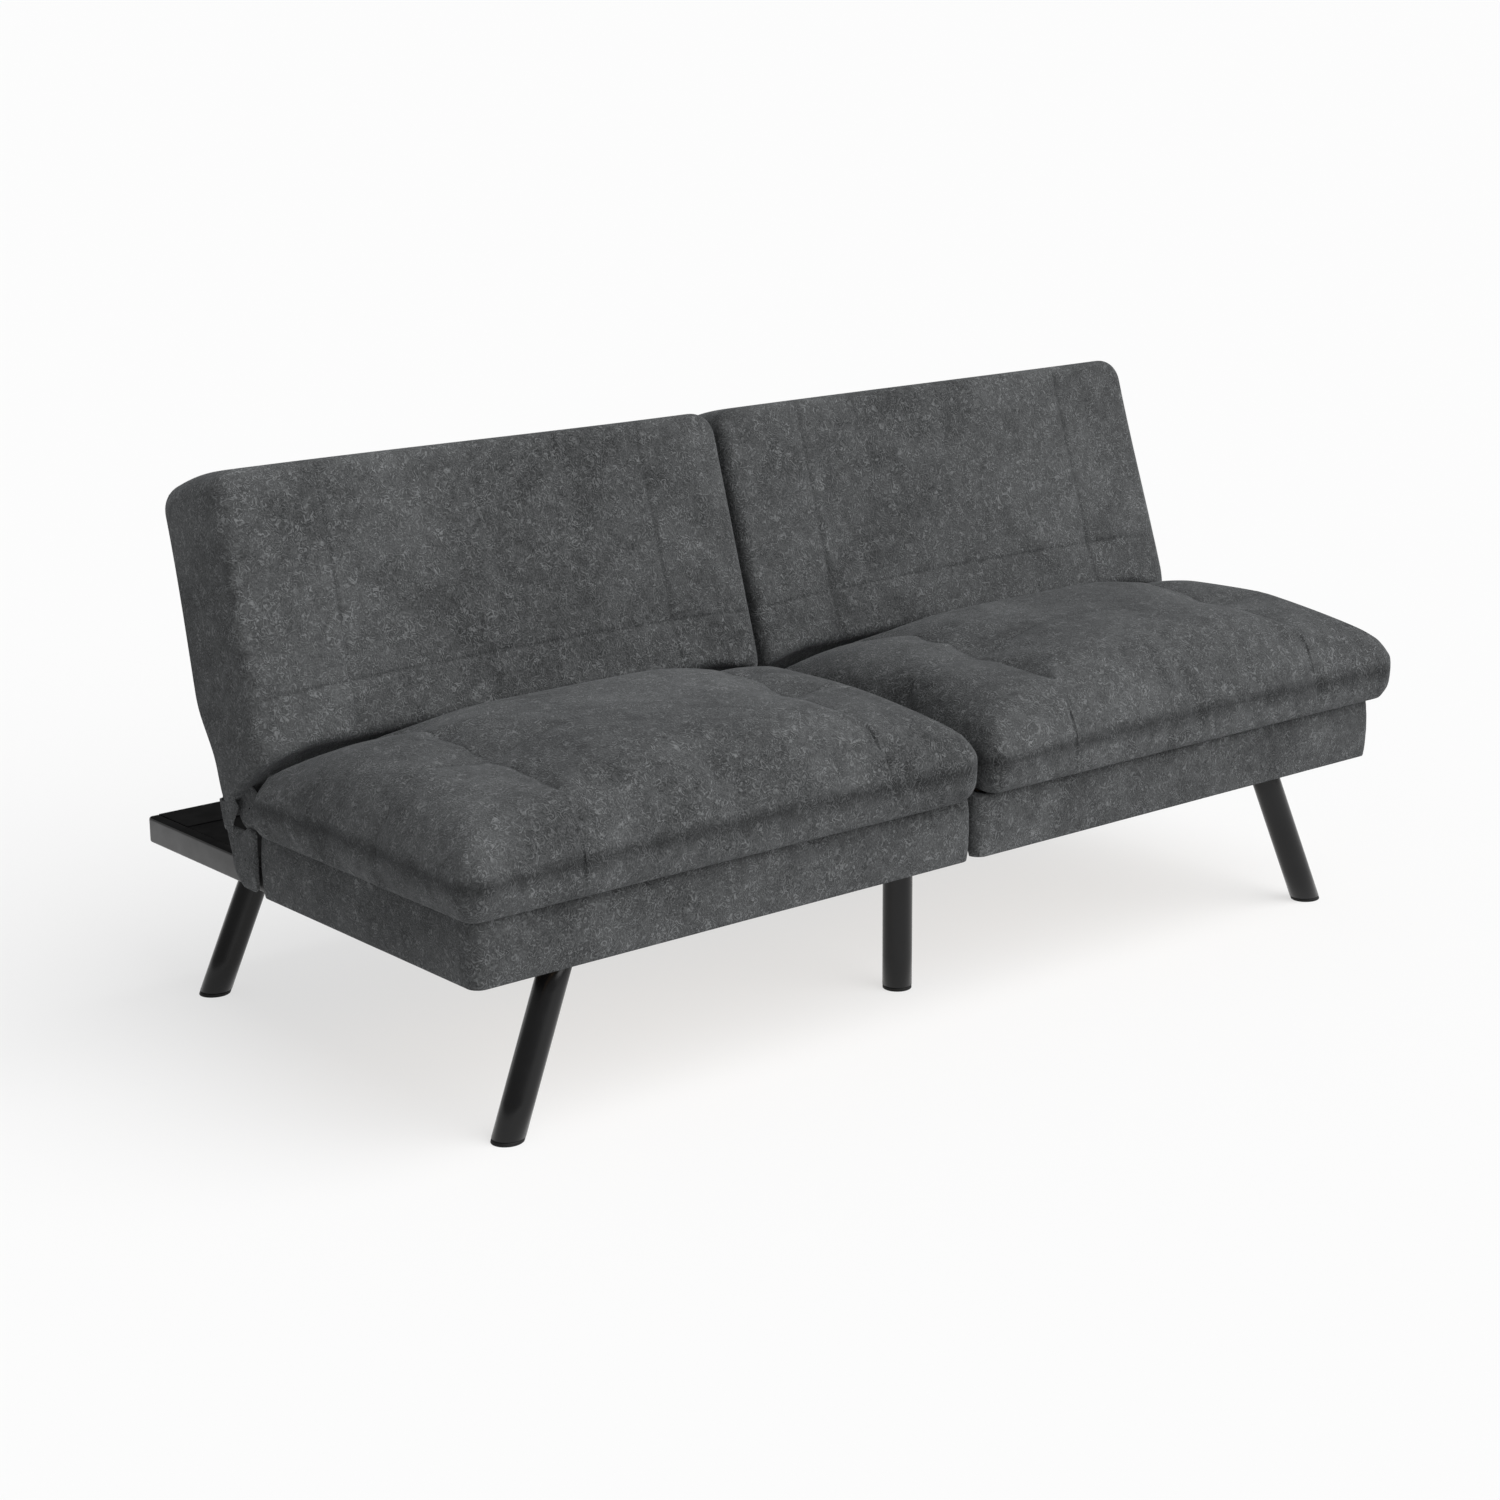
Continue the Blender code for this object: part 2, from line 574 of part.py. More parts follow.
def hinge_bracket(name, x, flange_side):
    """A fixed hinge plate: a flange on the hinge rail and an ear round the shaft."""
    z_low = BOARD_LOW
    y_front = HINGE_RAIL_FRONT - CLEARANCE - FLANGE_THICKNESS
    ear = rod(name, HINGE_EAR, x, HINGE_Y, HINGE_Z, BASE, ZINC)
    web_rear = HINGE_Y + HINGE_EAR - EAR_SHOULDER
    web = cutter(block(f"{name}_web", web_span(x), (y_front + BOSS_STEP, web_rear),
                       (z_low, HINGE_Z), BASE, ZINC))
    flange_x = (x[0], x[0] + FLANGE_WIDTH) if flange_side > 0 else (x[1] - FLANGE_WIDTH, x[1])
    flange = cutter(block(f"{name}_flange", flange_x, (y_front, y_front + FLANGE_THICKNESS),
                          (RAIL_TOP - FLANGE_HEIGHT, z_low + FLANGE_THICKNESS), BASE, ZINC))
    combine(ear, web, "UNION")
    combine(ear, flange, "UNION")
    combine(ear, hole(f"{name}_hole", x, BASE, HINGE_Y, HINGE_Z), "DIFFERENCE")
    for index, angle in enumerate(NOTCH_ANGLES):
        turn = math.radians(angle)
        notch = rod(f"{name}_notch_{index}", NOTCH_RADIUS, (x[0] - COVER, x[1] + COVER),
                    HINGE_Y + HINGE_EAR * math.cos(turn), HINGE_Z + HINGE_EAR * math.sin(turn),
                    BASE, ZINC, segments=12)
        combine(ear, cutter(notch), "DIFFERENCE")


def hinge_arm(name, x, pivot):
    """A hinge plate that is screwed to a stile and turns about the shaft."""
    ear = rod(name, HINGE_EAR, x, 0.0, 0.0, pivot, ZINC)
    strip = forward(WOOD_FRONT - ARM_WIDTH, WOOD_FRONT)
    web = cutter(block(f"{name}_web", web_span(x), (0.0, strip[0] + HINGE_EAR),
                       (ARM_LOW, HINGE_EAR - EAR_SHOULDER), pivot, ZINC))
    upright = cutter(block(f"{name}_strip", x, strip, (ARM_LOW, ARM_HEIGHT), pivot, ZINC))
    combine(ear, web, "UNION")
    combine(ear, upright, "UNION")
    combine(ear, hole(f"{name}_hole", x, pivot), "DIFFERENCE")


def hinge_flap(label, side):
    """The fabric cheek that covers the end of the hinge rail and the hinge beside it."""
    near = HALF_WIDTH + CLEARANCE
    corners = [("x", (s, 1), FLAP_RADIUS) for s in (-1, 1)]
    corners.append(("x", (1, -1), FLAP_REAR_RADIUS))
    block(f"hinge_flap_{label}", span(side, near, near + FLAP_THICKNESS),
          (SEAT_DEPTH + CLEARANCE, HINGE_RAIL_REAR + FLAP_REACH),
          (BOX_LOW, SEAT_TOP - FLAP_TOP_GAP), BASE, FABRIC, corners)


def back(label, side):
    """One folding back on its two hinges and the shaft that joins them."""
    pivot = empty(f"recline_axis_{label}", (0.0, HINGE_Y, HINGE_Z), BASE, -BACK_TILT)
    inner = LINING_INNER + STILE + CLEARANCE
    outer = LINING_OUTER - STILE - CLEARANCE
    arms = ((inner, inner + HINGE_PLATE), (outer - HINGE_PLATE, outer))
    brackets = ((arms[0][1] + CLEARANCE, arms[0][1] + CLEARANCE + HINGE_PLATE),
                (arms[1][0] - CLEARANCE - HINGE_PLATE, arms[1][0] - CLEARANCE))
    for where, arm, bracket in zip(("inner", "outer"), arms, brackets):
        hinge_arm(f"hinge_arm_{where}_{label}", span(side, *arm), pivot)
        flange_side = side if where == "inner" else -side
        hinge_bracket(f"hinge_bracket_{where}_{label}", span(side, *bracket), flange_side)
    rod(f"hinge_shaft_{label}", SHAFT_DIAMETER / 2, span(side, arms[0][0], arms[1][1]), 0.0,
        0.0, pivot, ZINC)
    back_frame(label, side, pivot, arms)
    back_cover(label, side, pivot, brackets)
    back_pad(label, side, pivot)
    hinge_flap(label, side)


base_frame()
legs()
seats()
for label, side in SIDES:
    back(label, side)
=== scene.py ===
"""Looks of the futon sofa bed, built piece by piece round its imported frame."""
import json
import math

import bpy
import numpy as np
from mathutils import Matrix, Vector


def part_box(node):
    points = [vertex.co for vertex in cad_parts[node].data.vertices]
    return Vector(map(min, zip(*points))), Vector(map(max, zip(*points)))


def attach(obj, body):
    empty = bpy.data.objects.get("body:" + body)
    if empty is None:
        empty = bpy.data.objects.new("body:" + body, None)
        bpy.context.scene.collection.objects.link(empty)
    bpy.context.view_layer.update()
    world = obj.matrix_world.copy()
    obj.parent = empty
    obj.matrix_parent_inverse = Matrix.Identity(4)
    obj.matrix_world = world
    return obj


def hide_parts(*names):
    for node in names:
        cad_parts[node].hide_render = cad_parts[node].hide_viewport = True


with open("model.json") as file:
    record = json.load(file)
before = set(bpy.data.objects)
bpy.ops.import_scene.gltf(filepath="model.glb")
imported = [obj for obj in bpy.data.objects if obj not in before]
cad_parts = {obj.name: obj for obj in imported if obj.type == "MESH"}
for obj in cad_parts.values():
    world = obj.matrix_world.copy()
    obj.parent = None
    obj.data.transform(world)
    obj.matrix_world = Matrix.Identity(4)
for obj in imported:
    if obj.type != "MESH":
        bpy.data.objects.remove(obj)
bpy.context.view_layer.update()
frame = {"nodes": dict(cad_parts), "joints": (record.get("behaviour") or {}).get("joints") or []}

# ---------------------------------------------------------------------------------------
# Timber base. Six black-painted rails are screwed together under the seat, and a black
# board lies in the rear bay as a shelf. Their arrises are eased with sandpaper and the
# paint is a satin lacquer.

SIDES = {"left": -1, "right": 1}


def nodes_of(material):
    """The shader, the node maker and the link maker of an emptied material."""
    material.use_nodes = True
    tree = material.node_tree
    return tree.nodes["Principled BSDF"], tree.nodes.new, tree.links.new


def noise(new, link, vector, scale, detail=2.0, distortion=0.0, rough=0.5):
    """A noise texture read at the given coordinates."""
    texture = new("ShaderNodeTexNoise")
    texture.inputs["Scale"].default_value = scale
    texture.inputs["Detail"].default_value = detail
    texture.inputs["Distortion"].default_value = distortion
    texture.inputs["Roughness"].default_value = rough
    link(vector, texture.inputs["Vector"])
    return texture.outputs["Fac"]


def ramp(new, link, value, stops):
    """A colour ramp through (place, colour) stops."""
    node = new("ShaderNodeValToRGB")
    elements = node.color_ramp.elements
    while len(elements) < len(stops):
        elements.new(0.5)
    for element, (place, colour) in zip(elements, stops):
        element.position = place
        element.color = (*colour, 1.0)
    link(value, node.inputs["Fac"])
    return node.outputs["Color"]


def spread(new, link, value, low, high, to_low, to_high):
    """A value carried from one range to another and kept inside it."""
    node = new("ShaderNodeMapRange")
    for name, number in (("From Min", low), ("From Max", high), ("To Min", to_low),
                         ("To Max", to_high)):
        node.inputs[name].default_value = number
    link(value, node.inputs["Value"])
    return node.outputs["Result"]


def bump(new, link, height, strength, distance, normal=None):
    """A bump from a height, on top of an earlier one if there is one."""
    node = new("ShaderNodeBump")
    node.inputs["Strength"].default_value = strength
    node.inputs["Distance"].default_value = distance
    link(height, node.inputs["Height"])
    if normal is not None:
        link(normal, node.inputs["Normal"])
    return node.outputs["Normal"]


def satin_paint(name, colour, roughness, orange_peel, shine):
    """Sprayed paint: nearly even colour, faint orange peel and rubbed patches."""
    material = bpy.data.materials.new(name)
    shader, new, link = nodes_of(material)
    place = new("ShaderNodeTexCoord").outputs["Object"]
    cloud = noise(new, link, place, 9.0, 4.0)
    darker = tuple(c * 0.82 for c in colour)
    lighter = tuple(c * 1.22 for c in colour)
    link(ramp(new, link, cloud, ((0.3, darker), (0.7, lighter))), shader.inputs["Base Color"])
    rubbed = noise(new, link, place, 38.0, 5.0)
    link(spread(new, link, rubbed, 0.3, 0.7, roughness - 0.05, roughness + 0.07),
         shader.inputs["Roughness"])
    peel = noise(new, link, place, orange_peel, 2.0)
    link(bump(new, link, peel, 0.12, 0.0004), shader.inputs["Normal"])
    shader.inputs["Specular IOR Level"].default_value = shine
    return material


def mesh_object(name, points, faces, material, smooth=True):
    """An object at the origin from an array of points and an array of faces."""
    mesh = bpy.data.meshes.new(name)
    mesh.from_pydata(points.tolist(), [], faces.tolist() if hasattr(faces, "tolist") else faces)
    mesh.validate()
    mesh.shade_smooth() if smooth else mesh.shade_flat()
    mesh.materials.append(material)
    piece = bpy.data.objects.new(name, mesh)
    bpy.context.scene.collection.objects.link(piece)
    return piece


def grid_faces(rows, columns, wrap_rows=False, wrap_columns=False, start=0):
    """Quads of a grid of points numbered row by row, closed round on either side."""
    i = np.arange(rows if wrap_rows else rows - 1)[:, None]
    j = np.arange(columns if wrap_columns else columns - 1)[None, :]
    up = (i + 1) % rows
    across = (j + 1) % columns
    quads = (i * columns + j, up * columns + j, up * columns + across, i * columns + across)
    return np.stack(np.broadcast_arrays(*quads), -1).reshape(-1, 4) + start


def capped(rings, count, start=0):
    """Faces of a closed tube: the grid between its rings, and one face over each end."""
    last = start + (rings - 1) * count
    return grid_faces(rings, count, wrap_columns=True, start=start).tolist() + [
        list(range(start, start + count)), list(range(last, last + count))]


def outward(piece):
    """Turns a closed mesh so that the volume its faces wrap is positive."""
    mesh = piece.data
    mesh.calc_loop_triangles()
    points = np.array([v.co for v in mesh.vertices])
    corners = np.array([t.vertices for t in mesh.loop_triangles])
    a, b, c = (points[corners[:, k]] for k in range(3))
    if np.einsum("ij,ij->i", a, np.cross(b, c)).sum() < 0:
        mesh.flip_normals()
    return piece


def rounded_bar(name, low, high, radius, corner, corner_side, material):
    """A bar along Y with eased arrises.

    Its section is a rectangle whose corners are quarter circles. Towards each end the
    section shrinks by the same quarter circle, and at the rear end one side also draws
    in by a larger one, which rounds that corner in plan.
    """
    steps = 5
    turn = np.linspace(0, math.pi / 2, steps)
    half = (np.array(high) - np.array(low))[[0, 2]] / 2
    middle = (np.array(high) + np.array(low))[[0, 2]] / 2
    arcs = []
    for quarter in range(4):
        angle = turn + quarter * math.pi / 2
        sign = np.array([math.copysign(1, math.cos(quarter * math.pi / 2 + 0.1)),
                         math.copysign(1, math.sin(quarter * math.pi / 2 + 0.1))])
        arcs.append(sign * (half - radius) + radius * np.stack([np.cos(angle), np.sin(angle)], 1))
    section = np.concatenate(arcs)
    inset = radius * (1 - np.sin(turn))
    ends = radius * (1 - np.cos(turn))
    front = low[1] + ends
    rear_turn = np.linspace(0, math.pi / 2, 9)
    rear = high[1] - corner * (1 - np.sin(rear_turn))
    draw = corner * (1 - np.cos(rear_turn))
    y = np.concatenate([front, rear])
    shrink = np.concatenate([inset, np.interp(high[1] - rear, ends, inset)])
    rows = []
    for k, along in enumerate(y):
        ring = section * (1 - shrink[k] / half)
        if k >= steps:
            share = (ring[:, 0] * corner_side + half[0]) / (2 * half[0])
            ring[:, 0] -= corner_side * draw[k - steps] * share
        rows.append(np.column_stack([ring[:, 0] + middle[0], np.full(len(ring), along),
                                     ring[:, 1] + middle[1]]))
    faces = capped(len(y), len(section))
    return outward(mesh_object(name, np.concatenate(rows), faces, material))


RAIL_PAINT = satin_paint("satin_black_lacquer", (0.022, 0.022, 0.0225), 0.36, 900.0, 0.5)
BOARD_PAINT = satin_paint("matt_black_board", (0.0085, 0.0085, 0.0088), 0.70, 500.0, 0.06)

RAIL_ARRIS = 0.003
RAIL_CORNER = 0.012

for label, side in SIDES.items():
    low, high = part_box(f"side_rail_{label}")
    rail = rounded_bar(f"rail_{label}", low, high, RAIL_ARRIS, RAIL_CORNER, side, RAIL_PAINT)
    # The top faces take the darker matt board paint and the sides the satin lacquer. The top is
    # painted darker, as shade and as the dark reflection of the seat above it.
    rail.data.materials.append(BOARD_PAINT)
    for face in rail.data.polygons:
        face.material_index = int(face.normal.z > 0.9)
    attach(rail, "base")
    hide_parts(f"side_rail_{label}")
for name in ("front_rail", "hinge_rail", "rear_rail", "centre_rail"):
    frame["nodes"][name].data.materials[0] = BOARD_PAINT
frame["nodes"]["shelf_panel"].data.materials[0] = BOARD_PAINT

# ---------------------------------------------------------------------------------------
# Legs. Round steel tubes with a satin black powder coat, cut level at both ends. Each is
# welded to a plate that four countersunk screws hold under a rail, and stands on a glide.

LEG_RADIUS = 0.021
LEG_WALL = 0.002
RIM_EASE = 0.0006
LEG_SPLAY = (0.097, 0.014)      # sideways and lengthways, from plate to foot
GLIDE_INSET = 0.0004
GLIDE_BORE = 0.004
GLIDE_GAP = 0.0003
HEAD_POINTS = 16
HEAD_RADIUS = 0.0045
HEAD_DEPTH = 0.0018
HEAD_INSET = 0.009
powder = satin_paint("black_powder_coat", (0.0055, 0.0055, 0.0058), 0.20, 1500.0, 0.30)
glide_plastic = satin_paint("black_glide_plastic", (0.008, 0.008, 0.008), 0.55, 700.0, 0.2)


def level_tube(name, foot, top, outer, inner, z, material):
    """A tube on a leaning axis, cut level at two heights, with its rims eased.

    Each point lies at a radius round the vertical, moved along with the axis at its
    height and stretched in the direction of the lean, which is how a level cut shows a
    leaning round tube.
    """
    lean = (np.array(top) - np.array(foot)) / (top[2] - foot[2])
    stretch = np.hypot(*lean[:2])
    direction = math.atan2(lean[1], lean[0])
    ease = RIM_EASE
    heights = np.linspace(z[0] + ease, z[1] - ease, 6)
    profile = [(outer, h) for h in heights]
    profile += [(outer - ease, z[1]), (inner + ease, z[1]), (inner, z[1] - ease)]
    profile += [(inner, z[0] + ease), (inner + ease, z[0]), (outer - ease, z[0])]
    profile = np.array(profile)
    angle = np.linspace(0, 2 * math.pi, 72, endpoint=False)
    radius, height = profile[:, :1], profile[:, 1:]
    u = radius * np.cos(angle) * math.sqrt(1 + stretch ** 2)
    v = radius * np.sin(angle)
    x = foot[0] + lean[0] * height + u * math.cos(direction) - v * math.sin(direction)
    y = foot[1] + lean[1] * height + u * math.sin(direction) + v * math.cos(direction)
    points = np.stack([x, y, np.broadcast_to(height, x.shape)], -1).reshape(-1, 3)
    faces = grid_faces(len(profile), len(angle), True, True)
    return outward(mesh_object(name, points, faces, material))


def screw_heads(name, places, radius, depth, material):
    """Domed screw heads facing down: rings of a flattened dome below each place."""
    turn = np.linspace(0, 2 * math.pi, HEAD_POINTS, endpoint=False)
    ring = np.stack([np.cos(turn), np.sin(turn)], 1)
    dome = [(math.cos(rise), -depth * math.sin(rise))
            for rise in np.linspace(0, math.pi / 2, 5)[:-1]]
    socket = [(0.35, -depth), (0.33, -depth * 0.4), (0.05, -depth * 0.35)]
    profile = [(1.0, depth)] + dome + socket
    head = np.concatenate([np.column_stack([ring * radius * size, np.full(HEAD_POINTS, z)])
                           for size, z in profile])
    points = np.concatenate([head + np.array(place) for place in places])
    faces = []
    for k in range(len(places)):
        faces += capped(len(profile), HEAD_POINTS, k * len(head))
    return outward(mesh_object(name, points, faces, material))


for label in ("front_left", "front_right", "rear_left", "rear_right", "centre"):
    plate_low, plate_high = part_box(f"leg_plate_{label}")
    tube_low, tube_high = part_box(f"leg_{label}")
    frame["nodes"][f"leg_plate_{label}"].data.materials[0] = powder
    top = (plate_low + plate_high) / 2
    top.z = tube_high.z
    foot = top.copy()
    foot.z = 0.0
    if label != "centre":
        foot.x += math.copysign(LEG_SPLAY[0], foot.x)
        foot.y += LEG_SPLAY[1] if "rear" in label else -LEG_SPLAY[1]
    tube = level_tube(f"tube_{label}", foot, top, LEG_RADIUS, LEG_RADIUS - LEG_WALL,
                      (tube_low.z, tube_high.z), powder)
    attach(tube, "base")
    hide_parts(f"leg_{label}")
    glide = level_tube(f"glide_{label}", foot, top, LEG_RADIUS - GLIDE_INSET, GLIDE_BORE,
                       (0.0, tube_low.z - GLIDE_GAP), glide_plastic)
    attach(glide, "base")
    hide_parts(f"leg_glide_{label}")
    reach = (plate_high - plate_low) * 0.5
    holes = [(top.x + a * (reach.x - HEAD_INSET), top.y + b * (reach.y - HEAD_INSET),
              plate_low.z) for a in (-1, 1) for b in (-1, 1)]
    heads = screw_heads(f"plate_screws_{label}", holes, HEAD_RADIUS, HEAD_DEPTH, powder)
    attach(heads, "base")

# ---------------------------------------------------------------------------------------
# Seat boxes. Sawn pine boards under a plywood deck, inside a fabric band that is wrapped
# round the box over thin wadding, tucked under at the bottom and stapled.


def timber(name, pale, dark, ring_scale, along):
    """Wood: stretched noise for the grain, finer streaks for the pores."""
    material = bpy.data.materials.new(name)
    shader, new, link = nodes_of(material)
    mapping = new("ShaderNodeMapping")
    mapping.inputs["Scale"].default_value = along
    link(new("ShaderNodeTexCoord").outputs["Object"], mapping.inputs["Vector"])
    grain = noise(new, link, mapping.outputs["Vector"], ring_scale, 5.0, 1.2)
    pores = noise(new, link, mapping.outputs["Vector"], ring_scale * 9, 3.0)
    colour = new("ShaderNodeMix")
    colour.data_type = "RGBA"
    colour.blend_type = "MULTIPLY"
    colour.inputs["Factor"].default_value = 0.35
    link(ramp(new, link, grain, ((0.35, dark), (0.65, pale))), colour.inputs["A"])
    link(ramp(new, link, pores, ((0.3, (0.55, 0.5, 0.45)), (0.6, (1.0, 1.0, 1.0)))),
         colour.inputs["B"])
    link(colour.outputs["Result"], shader.inputs["Base Color"])
    shader.inputs["Roughness"].default_value = 0.72
    link(bump(new, link, pores, 0.25, 0.0004), shader.inputs["Normal"])
    return material


pine = timber("sawn_pine", (0.60, 0.44, 0.27), (0.42, 0.27, 0.14), 22.0, (0.08, 1.0, 1.0))
pine_upright = timber("sawn_pine_upright", (0.60, 0.44, 0.27), (0.42, 0.27, 0.14), 22.0,
                      (1.0, 0.3, 0.08))
plywood = timber("birch_plywood", (0.66, 0.52, 0.35), (0.55, 0.41, 0.25), 14.0,
                 (0.12, 1.0, 1.0))
for name, node in frame["nodes"].items():
    if "_board_" in name or "_rail_" in name and name.startswith("back"):
        node.data.materials[0] = pine
    elif "stile" in name:
        node.data.materials[0] = pine_upright
    elif "deck" in name:
        node.data.materials[0] = plywood


def chenille(name, colour):
    """Brushed charcoal chenille.

    The colour is a mottled grey: broad clouds where the nap lies differently, patches of
    a centimetre or two, and short curled fibres, which are the thin level lines of a
    twisted noise. The same lines and a fine grain raise the surface.
    """
    material = bpy.data.materials.new(name)
    shader, new, link = nodes_of(material)
    place = new("ShaderNodeTexCoord").outputs["Object"]

    def math_node(operation, first, second):
        node = new("ShaderNodeMath")
        node.operation = operation
        for socket, value in zip(node.inputs, (first, second)):
            if isinstance(value, float):
                socket.default_value = value
            else:
                link(value, socket)
        return node.outputs[0]

    cloud = spread(new, link, noise(new, link, place, 5.5, 3.0, 0.8), 0.3, 0.7, -0.20, 0.20)
    patch = spread(new, link, noise(new, link, place, 36.0, 3.0, 1.2), 0.3, 0.7, -0.17, 0.17)
    curl = noise(new, link, place, 88.0, 1.0, 1.1)
    contour = math_node("SINE", math_node("MULTIPLY", curl, 30.0), 0.0)
    where = spread(new, link, noise(new, link, place, 60.0, 2.0), 0.35, 0.65, 0.25, 1.0)
    fibre = math_node("MULTIPLY", spread(new, link, contour, 0.1, 1.0, 0.0, 1.0), where)
    grain = spread(new, link, noise(new, link, place, 420.0, 2.0), 0.25, 0.75, -0.30, 0.30)
    total = math_node("ADD", math_node("ADD", cloud, patch),
                      math_node("ADD", grain, math_node("MULTIPLY", fibre, 0.85)))
    tone = spread(new, link, total, -0.42, 1.20, 0.0, 1.0)
    dark = tuple(c * 0.30 for c in colour)
    light = tuple(c * 2.3 for c in colour)
    nap = ramp(new, link, tone, ((0.0, dark), (0.42, colour), (1.0, light)))
    # Painted shade: the crease number that the pillows carry along their seams and stitch lines
    # darkens the colour towards 0.45 of itself.
    painted_crease_shade = new("ShaderNodeAttribute")
    painted_crease_shade.attribute_name = "painted_crease_shade"
    shaded_nap = new("ShaderNodeMix")
    shaded_nap.data_type = "RGBA"
    shaded_nap.blend_type = "MULTIPLY"
    link(painted_crease_shade.outputs["Fac"], shaded_nap.inputs["Factor"])
    link(nap, shaded_nap.inputs["A"])
    shaded_nap.inputs["B"].default_value = (0.45, 0.45, 0.45, 1.0)
    link(shaded_nap.outputs["Result"], shader.inputs["Base Color"])
    shader.inputs["Roughness"].default_value = 0.96
    shader.inputs["Specular IOR Level"].default_value = 0.12
    shader.inputs["Sheen Weight"].default_value = 0.10
    shader.inputs["Sheen Roughness"].default_value = 0.55
    shader.inputs["Sheen Tint"].default_value = (0.75, 0.78, 0.82, 1.0)
    rise = math_node("ADD", math_node("MULTIPLY", fibre, 0.9), grain)
    link(bump(new, link, rise, 0.75, 0.0016), shader.inputs["Normal"])
    return material


FABRIC = chenille("charcoal_chenille", (0.064, 0.066, 0.067))


def rounded_outline(low, high, radius, per_corner, per_side):
    """Points round a rectangle with quarter-circle corners, and their outward normals."""
    corners = ((high[0], low[1], -90), (high[0], high[1], 0), (low[0], high[1], 90),
               (low[0], low[1], 180))
    points, normals = [], []
    for k, (x, y, start) in enumerate(corners):
        turn = np.radians(np.linspace(start, start + 90, per_corner))
        facing = np.stack([np.cos(turn), np.sin(turn)], 1)
        sign = np.sign([x - (low[0] + high[0]) / 2, y - (low[1] + high[1]) / 2])
        arc = np.array([x, y]) - sign * radius + radius * facing
        following = corners[(k + 1) % 4]
        end_turn = math.radians(following[2])
        end_sign = np.sign([following[0] - (low[0] + high[0]) / 2,
                            following[1] - (low[1] + high[1]) / 2])
        end = (np.array(following[:2]) - end_sign * radius
               + radius * np.array([math.cos(end_turn), math.sin(end_turn)]))
        share = np.linspace(0, 1, per_side + 2)[1:-1, None]
        points += [arc, arc[-1] + (end - arc[-1]) * share]
        normals += [facing, np.repeat(facing[-1:], per_side, 0)]
    return np.concatenate(points), np.concatenate(normals)


def smoothstep(value, low, high):
    """Rises from 0 to 1 between two values with level ends."""
    t = np.clip((value - low) / (high - low), 0, 1)
    return t * t * (3 - 2 * t)


def ripples(points, waves, seed):
    """A sum of sine waves in chosen directions, with seeded phases: (size, length) each."""
    rng = np.random.default_rng(seed)
    total = np.zeros(len(points))
    for size, length in waves:
        for _ in range(5):
            direction = rng.normal(size=3)
            direction /= np.linalg.norm(direction)
            phase = rng.uniform(0, 2 * math.pi)
            total += size / 5 * np.sin(points @ direction * 2 * math.pi / length + phase)
    return total


BAND_CORNER = 0.018
BAND_WALL = 0.0042
BAND_TUCK = 0.004       # how far it hangs below the boards


def fabric_band(name, low, high, rails_above, inner_side):
    """The band round a seat box.

    Its wall is a closed loop of (depth in walls, height from 0 to 1, swell) points that is
    carried round the box: up the outer face, which swells by half a sine over the wadding,
    in over the deck's edge and down inside. The face is taut along the rear, and the lower
    edge lifts over the base rails along the rear and the inner side.
    """
    outline, facing = rounded_outline(low, high, BAND_CORNER, 9, 70)
    bottom = np.full(len(outline), low[2] - BAND_TUCK)
    at_rear = smoothstep(outline[:, 1], high[1] - 0.006, high[1] - 0.002)
    middle = (low[0] + high[0]) / 2
    inward = (outline[:, 0] - middle) * inner_side / ((high[0] - low[0]) / 2)
    at_inner = smoothstep(inward, 0.985, 0.995) * smoothstep(outline[:, 1], low[1] + 0.02,
                                                            low[1] + 0.03)
    lift = np.maximum(at_rear * smoothstep(-inward, 0.975, 0.965), at_inner)
    bottom += lift * (rails_above - low[2] + BAND_TUCK)
    top = np.full(len(outline), high[2])
    up_wall = [(0.0, 0.02 + 0.96 * share, 0.0030 * math.sin(math.pi * share) ** 0.7 - 0.0012)
               for share in np.linspace(0, 1, 12)]
    loop = [(0.5, 0.0, -0.0015), (0.0, 0.0, -0.0016), *up_wall, (0.35, 1.0, -0.0005),
            (1.9, 1.012, 0.0), (3.8, 1.012, 0.0), (3.8, 1.004, 0.0), (1.0, 1.0, 0.0),
            (1.0, 0.5, 0.0), (1.0, 0.02, 0.0)]
    rings = []
    taut = 1 - smoothstep(outline[:, 1], high[1] - 0.014, high[1] - 0.004)
    for depth, rise, out in loop:
        z = bottom + (top - bottom) * rise
        push = min(out, 0.0) + max(out, 0.0) * taut - depth * BAND_WALL
        ring = np.column_stack([outline + facing * push[:, None], z])
        if depth == 0.0:
            wave = ripples(ring * (1, 1, 3), ((0.0011, 0.16), (0.0005, 0.05)), 5)
            wave *= math.sin(math.pi * min(max(rise, 0.1), 0.9)) * taut
            ring[:, :2] += facing * wave[:, None]
        rings.append(ring)
    points = np.concatenate(rings)
    faces = grid_faces(len(rings), len(outline), True, True)
    return outward(mesh_object(name, points, faces, FABRIC))


for label, side in SIDES.items():
    low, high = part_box(f"seat_cover_{label}")
    rails_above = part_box(f"seat_outer_board_{label}")[0].z
    band = fabric_band(f"seat_band_{label}", low, high, rails_above, -side)
    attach(band, "base")
    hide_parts(f"seat_cover_{label}")

# ---------------------------------------------------------------------------------------
# Seat pads. Each is a pillow of foam and loose fibre: an upper and a lower fabric sheet
# meet in a seam half way up its edge, faint quilting runs over the top, and the underside
# lies flat on the deck. The filling pushes the fabric out between the seams.


def snapped(even, stitches):
    """Grid lines along one direction, with five close lines at every stitch row."""
    lines = even
    for place in stitches:
        lines = lines[np.abs(lines - place) > 0.007]
        lines = np.concatenate([lines, place + np.array([-0.005, -0.0018, 0, 0.0018, 0.005])])
    return np.sort(lines)


